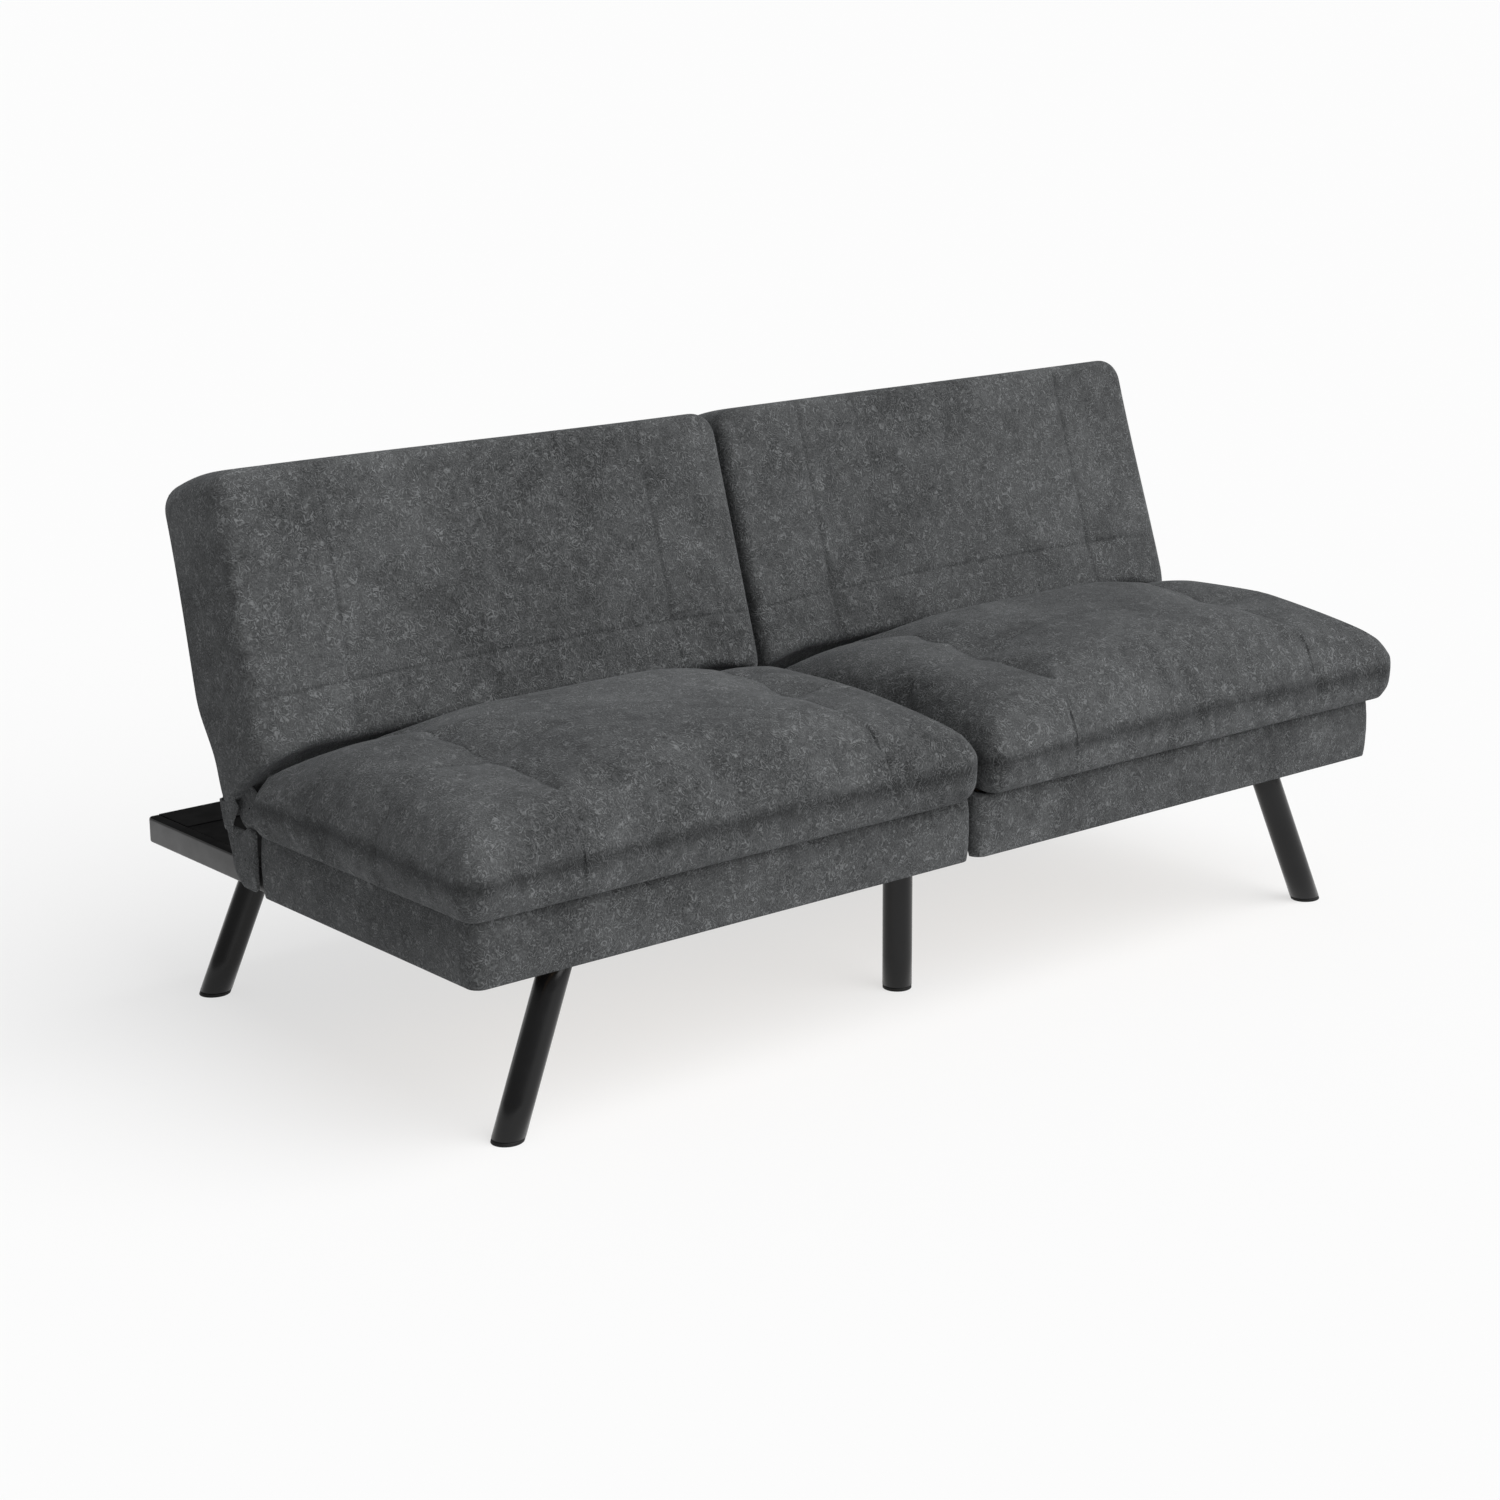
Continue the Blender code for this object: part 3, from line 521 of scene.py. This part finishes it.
def graded(low, high, count, stitches=()):
    """Grid lines from edge to edge, closer near both edges: a line blended with a sine."""
    even = np.linspace(-1, 1, count)
    eased = 0.3 * even + 0.7 * np.sin(even * math.pi / 2)
    return snapped((low + high) / 2 + eased * (high - low) / 2, stitches)


def rounded_plan(x_lines, y_lines, low, high, radius):
    """A grid over a rectangle with its corners rounded.

    A point in a corner square is drawn in along the ray from that square's inner corner,
    so that the square's two outer sides fall on the quarter circle. Also returned: how
    far each point lies out from the inner rectangle, and in which direction.
    """
    half = (np.array(high) - np.array(low)) / 2
    centre = (np.array(high) + np.array(low)) / 2
    plan = np.stack(np.meshgrid(x_lines, y_lines, indexing="ij"), -1) - centre
    past = np.maximum(np.abs(plan) - (half - radius), 0)
    length = np.maximum(np.hypot(past[..., 0], past[..., 1]), 1e-9)
    out = past.max(-1)
    direction = np.sign(plan) * past / length[..., None]
    inner = np.sign(plan) * np.minimum(np.abs(plan), half - radius)
    return inner + centre, out, direction


def close_sheets(name, upper, lower, material):
    """Joins two grids that share their border into one closed pillow mesh."""
    rows, columns = upper.shape[:2]
    border = np.ones((rows, columns), bool)
    border[1:-1, 1:-1] = False
    index = np.arange(rows * columns).reshape(rows, columns)
    second = index.copy()
    second[~border] = rows * columns + np.arange((~border).sum())
    points = np.concatenate([upper.reshape(-1, 3), lower[~border]])
    top = grid_faces(rows, columns)
    under = second.reshape(-1)[top][:, ::-1]
    piece = mesh_object(name, points, np.concatenate([top, under]), material)
    return outward(piece), index, second


def groove(distance, width):
    """A soft valley: 1 on the line, falling off like a bell curve."""
    return np.exp(-(distance / width) ** 2)


def set_attribute(piece, name, values):
    """Gives each point of a mesh a number."""
    attribute = piece.data.attributes.new(name, "FLOAT", "POINT")
    attribute.data.foreach_set("value", values.astype(np.float32))


def point_array(mesh):
    """The points of a mesh as an array."""
    flat = np.empty(len(mesh.vertices) * 3)
    mesh.vertices.foreach_get("co", flat)
    return flat.reshape(-1, 3)


def inflate(piece, held, cap):
    """Fills a pillow mesh: a cloth simulation under pressure, without gravity.

    Points move freely where held is 0 and not at all where it is 1. No point moves
    further than the cap. The fabric has a little spare length, which gathers in soft
    puckers along the seams.
    """
    before = point_array(piece.data)
    scene = bpy.context.scene
    group = piece.vertex_groups.new(name="held")
    for level in np.unique(np.round(held, 2)):
        if level > 0:
            group.add(np.flatnonzero(np.round(held, 2) == level).tolist(), float(level),
                      "REPLACE")
    cloth = piece.modifiers.new("filling", "CLOTH")
    settings = cloth.settings
    settings.quality = 6
    settings.mass = 0.25
    settings.tension_stiffness = 18.0
    settings.compression_stiffness = 18.0
    settings.shear_stiffness = 6.0
    settings.bending_stiffness = 0.25
    settings.use_pressure = True
    settings.uniform_pressure_force = PRESSURE
    settings.shrink_min = SLACK
    settings.vertex_group_mass = "held"
    settings.effector_weights.gravity = 0.0
    cloth.collision_settings.use_collision = False
    cloth.collision_settings.use_self_collision = False
    cloth.point_cache.frame_start = 1
    cloth.point_cache.frame_end = FILL_FRAMES
    for moment in range(1, FILL_FRAMES + 1):
        scene.frame_set(moment)
    evaluated = piece.evaluated_get(bpy.context.evaluated_depsgraph_get())
    after = point_array(evaluated.data)
    piece.modifiers.remove(cloth)
    piece.vertex_groups.remove(group)
    scene.frame_set(1)
    move = after - before
    length = np.linalg.norm(move, axis=1, keepdims=True)
    return before + move * np.minimum(1, cap / np.maximum(length, 1e-9))


def settle(piece, points):
    """Writes the filled shape into the mesh and smooths it by one subdivision."""
    piece.data.vertices.foreach_set("co", points.reshape(-1))
    piece.data.update()
    smoothing = piece.modifiers.new("smooth", "SUBSURF")
    smoothing.levels = 1
    smoothing.render_levels = 1


PRESSURE = 4.0
SLACK = -0.02                   # a negative shrinkage: spare length
FILL_FRAMES = 20
STITCH_WIDTH = 0.0035
SEAT_NEAR = 0.005               # ends of the pad, from the middle of the sofa
SEAT_FAR = 0.853
SEAT_CORNER = 0.034
SEAT_STITCH_X = (0.175, 0.670)
SEAT_STITCH_Y = (-0.205,)
SEAT_STITCH_DEPTH = 0.0012
SEAT_TUFT_SIZE = 0.028
SEAT_TUFT_DEPTH = 0.004
SEAT_SEAM_RISE = 0.050
SEAT_EDGE = 0.054               # height and width of the rolled edge above the seam
SEAT_EDGE_WIDTH = 0.088
SEAT_UNDER_WIDTH = 0.026
SEAT_UNDER_GAP = 0.0012
SEAT_DOME = 0.040
SEAT_REAR_FALL = 0.42           # the pad thins by this share towards the back
SEAT_SWELL = 0.024
SEAT_REACH = (0.0015, 0.868)

for label, side in SIDES.items():
    low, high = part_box(f"seat_pad_{label}")
    seam = low.z + SEAT_SEAM_RISE
    near, far = SEAT_NEAR, SEAT_FAR
    front, rear = low.y + 0.006, high.y - 0.001
    x_lines = graded(near, far, 112, SEAT_STITCH_X)
    y_lines = graded(front, rear, 72, SEAT_STITCH_Y)
    inner, out, direction = rounded_plan(x_lines, y_lines, (near, front), (far, rear),
                                         SEAT_CORNER)
    plan = inner + direction * out[..., None]
    edge = np.where(out > 0, SEAT_CORNER - out,
                    np.minimum(np.minimum(plan[..., 0] - near, far - plan[..., 0]),
                               np.minimum(plan[..., 1] - front, rear - plan[..., 1])))
    edge = np.maximum(edge, 0)
    across = (plan[..., 0] - (near + far) / 2) / ((far - near) / 2)
    along = (plan[..., 1] - (front + rear) / 2) / ((rear - front) / 2)
    dome = (1 - np.abs(across) ** 3.4) * (1 - np.abs(along - 0.06 * (1 - along ** 2)) ** 3.2)
    t = 1 - np.clip(edge / SEAT_EDGE_WIDTH, 0, 1)
    height = SEAT_EDGE * np.sqrt(1 - t ** 2) + SEAT_DOME * dome
    height *= 1 - SEAT_REAR_FALL * smoothstep(plan[..., 1], -0.07, 0.06)
    line = np.zeros_like(height)
    tuft = np.zeros_like(height)
    for x in SEAT_STITCH_X:
        line = np.maximum(line, groove(plan[..., 0] - x, STITCH_WIDTH))
        for y in SEAT_STITCH_Y:
            tuft += groove(np.hypot(plan[..., 0] - x, plan[..., 1] - y),
                           SEAT_TUFT_SIZE)
    for y in SEAT_STITCH_Y:
        line = np.maximum(line, 0.6 * groove(plan[..., 1] - y, STITCH_WIDTH))
    inside = smoothstep(edge, 0.03, 0.10)
    height -= (SEAT_STITCH_DEPTH * line + SEAT_TUFT_DEPTH * tuft) * inside
    top = seam + height
    t = 1 - np.clip(edge / SEAT_UNDER_WIDTH, 0, 1)
    under = seam - (seam - low.z - SEAT_UNDER_GAP) * (1 - t ** 2.4) ** (1 / 2.4)
    mirror = np.array([side, 1, 1])
    upper = np.dstack([plan, top]) * mirror
    lower = np.dstack([plan, under]) * mirror
    pad, index, second = close_sheets(f"seat_pillow_{label}", upper, lower, FABRIC)
    held = np.zeros(len(pad.data.vertices))
    held[index] = 0.25 * line * inside + 0.5 * np.clip(tuft, 0, 1) * (line > 0.5)
    held[second[1:-1, 1:-1]] = smoothstep(edge[1:-1, 1:-1], 0.006, 0.022)
    held[index[0]] = held[index[-1]] = held[index[:, 0]] = held[index[:, -1]] = 0.12
    # Painted shade: full along the border seam rows and fainter along the stitch lines. The
    # shader darkens the colour by these numbers.
    painted_crease_shade = np.zeros(len(pad.data.vertices))
    painted_crease_shade[index] = line * inside * 0.4
    for row in (index[0], index[-1], index[:, 0], index[:, -1]):
        painted_crease_shade[row] = 1.0
    points = inflate(pad, np.clip(held, 0, 1), SEAT_SWELL)
    points[:, 0] = side * np.clip(points[:, 0] * side, *SEAT_REACH)
    points[:, 1] = np.clip(points[:, 1], low.y - 0.004, high.y + 0.006)
    points[:, 2] = np.maximum(points[:, 2], low.z + SEAT_UNDER_GAP - 0.0001)
    settle(pad, points)
    set_attribute(pad, "painted_crease_shade", painted_crease_shade)
    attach(pad, "base")
    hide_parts(f"seat_pad_{label}")

# ---------------------------------------------------------------------------------------
# Backs. A thin timber frame in a fabric case, with a thick quilted pillow sewn on: the
# pillow laps back over the case's top and outer side. They lean back from the hinge axis.

TILT = math.radians(17.0)
pivot = Vector(frame["joints"][0]["pos_m"])


def lean(points):
    """Carries (x, forward, up) points of a back into the sofa's frame."""
    x, forward, up = np.moveaxis(points, -1, 0)
    y = pivot.y + up * math.sin(TILT) - forward * math.cos(TILT)
    z = pivot.z + up * math.cos(TILT) + forward * math.sin(TILT)
    return np.stack([x, y, z], -1)


def upright(points):
    """The reverse: points of the sofa's frame as (x, forward, up)."""
    x = points[:, 0]
    y, z = points[:, 1] - pivot.y, points[:, 2] - pivot.z
    forward = -y * math.cos(TILT) + z * math.sin(TILT)
    up = y * math.sin(TILT) + z * math.cos(TILT)
    return np.stack([x, forward, up], -1)


CASE_REAR = -0.071
CASE_FRONT = -0.032
CASE_LOW = -0.008
CASE_TOP = 0.375


def back_case(name, x_low, x_high):
    """The fabric case of a back's frame.

    A rounded-rectangle outline (across, up) is carried through the case's depth, from the
    rim at the front, over a tight rear edge, and closed over the rear panel by rings that
    shrink to its middle.
    """
    outline, facing = rounded_outline((x_low, CASE_LOW), (x_high, CASE_TOP), 0.008, 7, 60)
    rim = [(CASE_FRONT + 0.0003, -0.0070), (CASE_FRONT + 0.0002, -0.0035),
           (CASE_FRONT, -0.0012)]
    side = [(d, -0.0004 - 0.0006 * math.sin(s)) for d, s in
            zip(np.linspace(CASE_FRONT - 0.003, CASE_REAR + 0.004, 7), np.linspace(0, 3.14, 7))]
    turn = np.linspace(0, math.pi / 2, 5)[1:]
    soft = [(CASE_REAR + 0.004 * (1 - math.sin(t)), -0.0004 - 0.004 * (1 - math.cos(t)))
            for t in turn]
    rings = []
    for forward, out in rim + side + soft:
        ring = outline + facing * out
        rings.append(np.column_stack([ring[:, 0], np.full(len(ring), forward), ring[:, 1]]))
    middle = np.array([(x_low + x_high) / 2, (CASE_LOW + CASE_TOP) / 2])
    last = rings[-1][:, [0, 2]]
    for share in np.linspace(0, 1, 22)[1:-1]:
        ring = middle + (last - middle) * (1 - share)
        belly = 0.0010 * math.sin(math.pi * share)
        rings.append(np.column_stack([ring[:, 0], np.full(len(ring), CASE_REAR - belly),
                                      ring[:, 1]]))
    panel = np.concatenate(rings)
    panel[:, 1] += ripples(panel, ((0.0007, 0.14), (0.0003, 0.05)), 11) * (
        panel[:, 1] < CASE_REAR + 0.001)
    return outward(mesh_object(name, lean(panel), capped(len(rings), len(outline)), FABRIC))


def cut_slots(piece, ranges, low, top):
    """Cuts the slots that let the hinge plates through the low edge of a case."""
    for x_low, x_high in ranges:
        corners = np.array([(x, forward, up) for x in (x_low, x_high)
                            for forward in (CASE_REAR - 0.02, CASE_FRONT + 0.02)
                            for up in (low, top)])
        quads = [(0, 1, 3, 2), (4, 6, 7, 5), (0, 4, 5, 1), (2, 3, 7, 6), (0, 2, 6, 4),
                 (1, 5, 7, 3)]
        knife = outward(mesh_object("slot_knife", lean(corners), quads, FABRIC, False))
        slot = piece.modifiers.new("slot", "BOOLEAN")
        slot.object = knife
        slot.solver = "EXACT"
        evaluated = piece.evaluated_get(bpy.context.evaluated_depsgraph_get())
        shape = bpy.data.meshes.new_from_object(evaluated)
        piece.modifiers.remove(slot)
        piece.data = shape
        bpy.data.objects.remove(knife)


SLOT_SIDE_GAP = 0.002
SLOT_TOP = 0.018
BACK_STITCH_X = (0.150, 0.680)
BACK_STITCH_UP = 0.128
BACK_STITCH_BOW = 0.010         # the level row of stitches rises this much in the middle
BOW_MIDDLE = 0.4145
BOW_HALF = 0.41
BACK_STITCH_DEPTH = 0.0014
BACK_TUFT_SIZE = 0.030
BACK_TUFT_DEPTH = 0.0045
BACK_NEAR = 0.0045
BACK_FAR = 0.833
BACK_SWELL = 0.022
BACK_REACH = (0.0014, 0.855)
PILLOW_FACE = 0.086
PILLOW_LOW = 0.014
PILLOW_LOW_FRONT = 0.062
PILLOW_LOW_END = 0.046
PILLOW_TOP = 0.428
PILLOW_BASE = CASE_FRONT + 0.0004
LAP = 0.024
ARRIS = 0.016
CORNER = 0.036
PILLOW_FLARE = 0.013
PILLOW_CROWN = {"left": 0.009, "right": -0.004}

for label, side in SIDES.items():
    low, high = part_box(f"back_cover_{label}")
    case = back_case(f"back_case_{label}", low.x, high.x)
    slots = []
    for where in ("inner", "outer"):
        plates = [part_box(f"hinge_{plate}_{where}_{label}") for plate in ("arm", "bracket")]
        slots.append((min(box[0].x for box in plates) - SLOT_SIDE_GAP,
                      max(box[1].x for box in plates) + SLOT_SIDE_GAP))
    cut_slots(case, slots, CASE_LOW - 0.02, SLOT_TOP)
    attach(case, f"back_{label}")
    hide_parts(f"back_cover_{label}")

    # The sheet is laid out flat first, its sides folded out by their own height, then
    # every point past the arris is rolled over it and down the side.
    near, far = BACK_NEAR, BACK_FAR
    wall = PILLOW_FACE - PILLOW_BASE - ARRIS
    unrolled = ARRIS * (math.pi / 2 - 1) + wall
    roll_start = CORNER - ARRIS
    spread_out = CORNER + unrolled
    x_mid = np.linspace(near + CORNER, far - CORNER, 84)
    u_mid = np.linspace(PILLOW_LOW + CORNER, PILLOW_TOP - CORNER, 36)
    fringe = spread_out * np.linspace(0, 1, 26)[1:]
    x_lines = np.concatenate([(near + CORNER - fringe)[::-1],
                              snapped(x_mid, BACK_STITCH_X), far - CORNER + fringe])
    u_lines = np.concatenate([(PILLOW_LOW + CORNER - fringe)[::-1],
                              snapped(u_mid, (BACK_STITCH_UP,)), PILLOW_TOP - CORNER + fringe])
    inner, out, direction = rounded_plan(
        x_lines, u_lines, (near - unrolled, PILLOW_LOW - unrolled),
        (far + unrolled, PILLOW_TOP + unrolled), spread_out)
    arc = np.clip((out - roll_start) / ARRIS, 0, math.pi / 2)
    down = np.clip(out - roll_start - ARRIS * math.pi / 2, 0, None)
    away = np.minimum(out, roll_start) + ARRIS * np.sin(arc)
    share = down / down.max()
    lap_share = smoothstep(direction[..., 0], -0.2, 0.5) * smoothstep(inner[..., 1], 0.06, 0.16)
    lap_share = np.maximum(lap_share, smoothstep(direction[..., 1], 0.3, 0.8))
    deep = wall + LAP * lap_share
    forward = PILLOW_FACE - ARRIS * (1 - np.cos(arc)) - share * deep
    plan = inner + direction * (away + 0.004 * np.sin(share * math.pi))[..., None]
    bow = BACK_STITCH_BOW * (1 - ((plan[..., 0] - BOW_MIDDLE) / BOW_HALF) ** 2)
    stitch_up = plan[..., 1] - (BACK_STITCH_UP + bow)
    line = np.zeros_like(out)
    tuft = np.zeros_like(out)
    for x in BACK_STITCH_X:
        line = np.maximum(line, groove(plan[..., 0] - x, STITCH_WIDTH))
        tuft += groove(np.hypot(plan[..., 0] - x, stitch_up), BACK_TUFT_SIZE)
    shift = bow * groove(plan[..., 1] - BACK_STITCH_UP, 0.06)
    plan[..., 1] += shift
    line = np.maximum(line, groove(plan[..., 1] - shift - BACK_STITCH_UP, STITCH_WIDTH))
    flat = 1 - smoothstep(out, roll_start * 0.3, roll_start + ARRIS)
    forward -= (BACK_STITCH_DEPTH * np.sqrt(line)
                + BACK_TUFT_DEPTH * np.clip(tuft, 0, 1)) * flat
    inner_up = plan[..., 1].copy()
    rise = smoothstep(forward, PILLOW_BASE, PILLOW_FACE - 0.006) ** 0.8
    to_end = np.minimum(plan[..., 0] - near, far - plan[..., 0])
    low_front = PILLOW_LOW_FRONT - (PILLOW_LOW_FRONT - PILLOW_LOW_END) * (
        1 - smoothstep(to_end, 0.01, 0.11))
    lift = (low_front - PILLOW_LOW) * rise * smoothstep(plan[..., 1], 0.16, 0.03)
    plan[..., 1] += lift
    upper = np.dstack([plan[..., 0], forward, plan[..., 1]])

    rear_low = np.array([near + 0.001, PILLOW_LOW + 0.002])
    rear_high = np.array([high.x * side if side > 0 else -low.x, CASE_TOP]) + 0.0005
    squeeze = (rear_high - rear_low) / (np.array([far, PILLOW_TOP])
                                        - np.array([near, PILLOW_LOW]))
    tucked = rear_low + (inner + direction * CORNER - (near, PILLOW_LOW)) * squeeze
    rim = inner + direction * CORNER
    lip = smoothstep(share, 0.02, 0.30)
    rear_plan = tucked + (rim - tucked) * np.clip((share - 0.25) / 0.75, 0, 1)[..., None]
    within = rear_low + (inner + direction * away[..., None] - (near, PILLOW_LOW)) * squeeze
    rear_plan = np.where((share > 0)[..., None], rear_plan, within)
    rear_forward = PILLOW_BASE - LAP * lap_share * lip
    lower = np.dstack([rear_plan[..., 0], rear_forward, rear_plan[..., 1]])
    # The low corners are squared, the outer side flares towards its foot, and the top
    # edge rises or falls a little towards the outer end.
    for sheet in (upper, lower):
        x, up = sheet[..., 0], sheet[..., 2]
        middle = (near + far) / 2
        short = np.clip(PILLOW_LOW + CORNER - inner_up, 0, CORNER)
        reach = middle - near - CORNER + np.sqrt(CORNER ** 2 - 0.94 * short ** 2)
        grown = middle + (x - middle) * (middle - near) / reach
        outer = smoothstep(x, middle, far)
        foot = 1 - smoothstep(up, 0.03, 0.40)
        crown = PILLOW_CROWN[label] * smoothstep(x, near, far) * smoothstep(up, 0.20, 0.42)
        sheet[..., 0] = (grown + PILLOW_FLARE * outer * foot) * side
        sheet[..., 2] = up + crown
    pad, index, second = close_sheets(f"back_pillow_{label}", lean(upper), lean(lower), FABRIC)
    held = np.ones(len(pad.data.vertices))
    held[index] = np.clip(0.62 * line * flat + 0.5 * np.clip(tuft, 0, 1) * flat
                          + smoothstep(share, 0.6, 0.95), 0, 1)
    # Painted shade along the stitch lines: the shader darkens the colour by these numbers.
    painted_crease_shade = np.zeros(len(pad.data.vertices))
    painted_crease_shade[index] = 0.45 * line * flat
    points = upright(inflate(pad, held, BACK_SWELL))
    points[:, 0] = side * np.clip(points[:, 0] * side, *BACK_REACH)
    settle(pad, lean(points))
    set_attribute(pad, "painted_crease_shade", painted_crease_shade)
    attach(pad, f"back_{label}")
    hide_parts(f"back_pad_{label}")

# ---------------------------------------------------------------------------------------
# Hinges. Zinc-plated click-clack hinges. At each outer end a fabric cheek with a padded
# tab is stapled to the base, and a round patch with a skirt is sewn to the back, so that
# cloth covers the turning joint at every angle.

zinc = bpy.data.materials.new("zinc_plate")
shader, new, link = nodes_of(zinc)
place = new("ShaderNodeTexCoord").outputs["Object"]
spangle = noise(new, link, place, 120.0, 3.0)
link(ramp(new, link, spangle, ((0.35, (0.42, 0.43, 0.44)), (0.65, (0.62, 0.63, 0.64)))),
     shader.inputs["Base Color"])
link(spread(new, link, spangle, 0.3, 0.7, 0.28, 0.46), shader.inputs["Roughness"])
link(bump(new, link, noise(new, link, place, 700.0), 0.1, 0.0003), shader.inputs["Normal"])
shader.inputs["Metallic"].default_value = 0.95
for name, node in frame["nodes"].items():
    if name.startswith(("hinge_arm", "hinge_bracket", "hinge_shaft")):
        node.data.materials[0] = zinc


PATCH_POINTS = 96


def padded_patch(outline, x_base, edge, crown):
    """A flat patch whose outer face swells: rings of its outline drawn to its middle.

    The outline is a closed curve of (y, z) points, resampled evenly and softened. The
    swelling rises from the edge thickness by the crown, as the square root of one minus
    the ring's size to the fourth power.
    """
    outline = np.array(outline)
    closed = np.vstack([outline, outline[:1]])
    run = np.concatenate([[0], np.cumsum(np.hypot(*np.diff(closed, axis=0).T))])
    even = np.linspace(0, run[-1], PATCH_POINTS + 1)[:-1]
    curve = np.column_stack([np.interp(even, run, closed[:, k]) for k in range(2)])
    for _ in range(3):
        curve = (np.roll(curve, 1, 0) + 2 * curve + np.roll(curve, -1, 0)) / 4
    middle = curve.mean(0)
    sizes = np.concatenate([[0.97, 1.0, 1.0], np.linspace(1, 0.04, 18)[1:]])
    outs = [0.0, 0.0004, edge * 0.6]
    outs += [edge + crown * math.sqrt(1 - size ** 4) for size in sizes[3:]]
    rings = []
    for size, out in zip(sizes, outs):
        ring = middle + (curve - middle) * size
        rings.append(np.column_stack([np.full(len(ring), x_base + out), ring]))
    return np.concatenate(rings)


def patch_pair(name, first, second, x_base, side, wave):
    """One piece from two patches, one over the other, wavy and turned to its side."""
    points = np.concatenate([first, second])
    points[:, 0] += ripples(points, ((wave, 0.03),), 3)
    points[:, 0] = np.maximum(points[:, 0], x_base) * side
    rings = len(first) // PATCH_POINTS
    faces = capped(rings, PATCH_POINTS) + capped(rings, PATCH_POINTS, len(first))
    return outward(mesh_object(name, points, faces, FABRIC))


CHEEK = ((0.1132, 0.2302), (0.1494, 0.2302), (0.1615, 0.2400), (0.1731, 0.2554),
         (0.1745, 0.2680), (0.1890, 0.3112), (0.1132, 0.3112))
TAB = ((0.1040, 0.2360), (0.1410, 0.2334), (0.1530, 0.2430), (0.1645, 0.2585),
       (0.1577, 0.2993), (0.1360, 0.3105), (0.1250, 0.3190), (0.1040, 0.3160))
TAB_OUT = 0.0024
SKIRT_OUT = 0.0095
KNUCKLE_RADIUS = 0.0328
SKIRT = ((0.1345, 0.3450), (0.1425, 0.3350), (0.1485, 0.3250), (0.1550, 0.3120),
         (0.1650, 0.3070), (0.1745, 0.3060), (0.1790, 0.3170), (0.1865, 0.3460),
         (0.1500, 0.3600))

for label, side in SIDES.items():
    low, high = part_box(f"hinge_flap_{label}")
    x_base = min(abs(low.x), abs(high.x))
    cheek = padded_patch(CHEEK, x_base, 0.0016, 0.0006)
    tab = padded_patch(TAB, x_base + TAB_OUT, 0.0020, 0.0042)
    flap = patch_pair(f"hinge_cheek_{label}", cheek, tab, x_base, side, 0.0004)
    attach(flap, "base")
    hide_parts(f"hinge_flap_{label}")
    turn = np.linspace(0, 2 * math.pi, 73)[:-1]
    disc = np.column_stack([pivot.y + KNUCKLE_RADIUS * np.cos(turn),
                            pivot.z + KNUCKLE_RADIUS * np.sin(turn)])
    round_patch = padded_patch(disc, x_base, 0.0010, 0.0010)
    skirt = padded_patch(SKIRT, x_base + SKIRT_OUT, 0.0008, 0.0006)
    knuckle = patch_pair(f"hinge_knuckle_{label}", round_patch, skirt, x_base, side, 0.0)
    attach(knuckle, f"back_{label}")

# ---------------------------------------------------------------------------------------
# Room. A plain white floor that glows enough to stay white, a dim even sky that turns
# white at the horizon, one broad soft lamp from the front right, and the camera.

floor_paint = bpy.data.materials.new("white_floor")
shader, new, link = nodes_of(floor_paint)
shader.inputs["Base Color"].default_value = (0.25, 0.25, 0.25, 1.0)
shader.inputs["Emission Color"].default_value = (1.0, 1.0, 1.0, 1.0)
shader.inputs["Emission Strength"].default_value = 0.66
shader.inputs["Roughness"].default_value = 0.9
shader.inputs["Specular IOR Level"].default_value = 0.0
reach = 60.0
floor = mesh_object("floor", np.array([(-reach, -reach, 0), (reach, -reach, 0),
                                       (reach, reach, 0), (-reach, reach, 0)]),
                    [[0, 1, 2, 3]], floor_paint, smooth=False)

world = bpy.data.worlds.new("studio")
bpy.context.scene.world = world
world.use_nodes = True
sky = world.node_tree.nodes["Background"]
new, link = world.node_tree.nodes.new, world.node_tree.links.new
split = new("ShaderNodeSeparateXYZ")
link(new("ShaderNodeTexCoord").outputs["Generated"], split.inputs["Vector"])
link(spread(new, link, split.outputs["Z"], 0.0, 0.12, 0.98, 0.33), sky.inputs["Strength"])
sky.inputs["Color"].default_value = (1.0, 1.0, 1.0, 1.0)

key = bpy.data.lights.new("soft_key", "SUN")
key.energy = 4.0
key.angle = math.radians(70)
key_object = bpy.data.objects.new("soft_key", key)
key_object.rotation_euler = (math.radians(38), math.radians(22), 0.0)
bpy.context.scene.collection.objects.link(key_object)

CAMERA_PLACE = (-2.8026, -3.3235, 1.4875)
CAMERA_TURN = 39.351
CAMERA_DOWN = 15.257
CAMERA_ROLL = -0.449
CAMERA_LENS = 74.613
camera = bpy.data.cameras.new("camera")
camera.lens = CAMERA_LENS
camera.sensor_width = 36.0
camera_object = bpy.data.objects.new("camera", camera)
bpy.context.scene.collection.objects.link(camera_object)
camera_object.matrix_world = (Matrix.Translation(CAMERA_PLACE)
                              @ Matrix.Rotation(math.radians(-CAMERA_TURN), 4, "Z")
                              @ Matrix.Rotation(math.radians(90 - CAMERA_DOWN), 4, "X")
                              @ Matrix.Rotation(math.radians(CAMERA_ROLL), 4, "Z"))
bpy.context.scene.camera = camera_object
bpy.context.scene.view_settings.view_transform = "Standard"
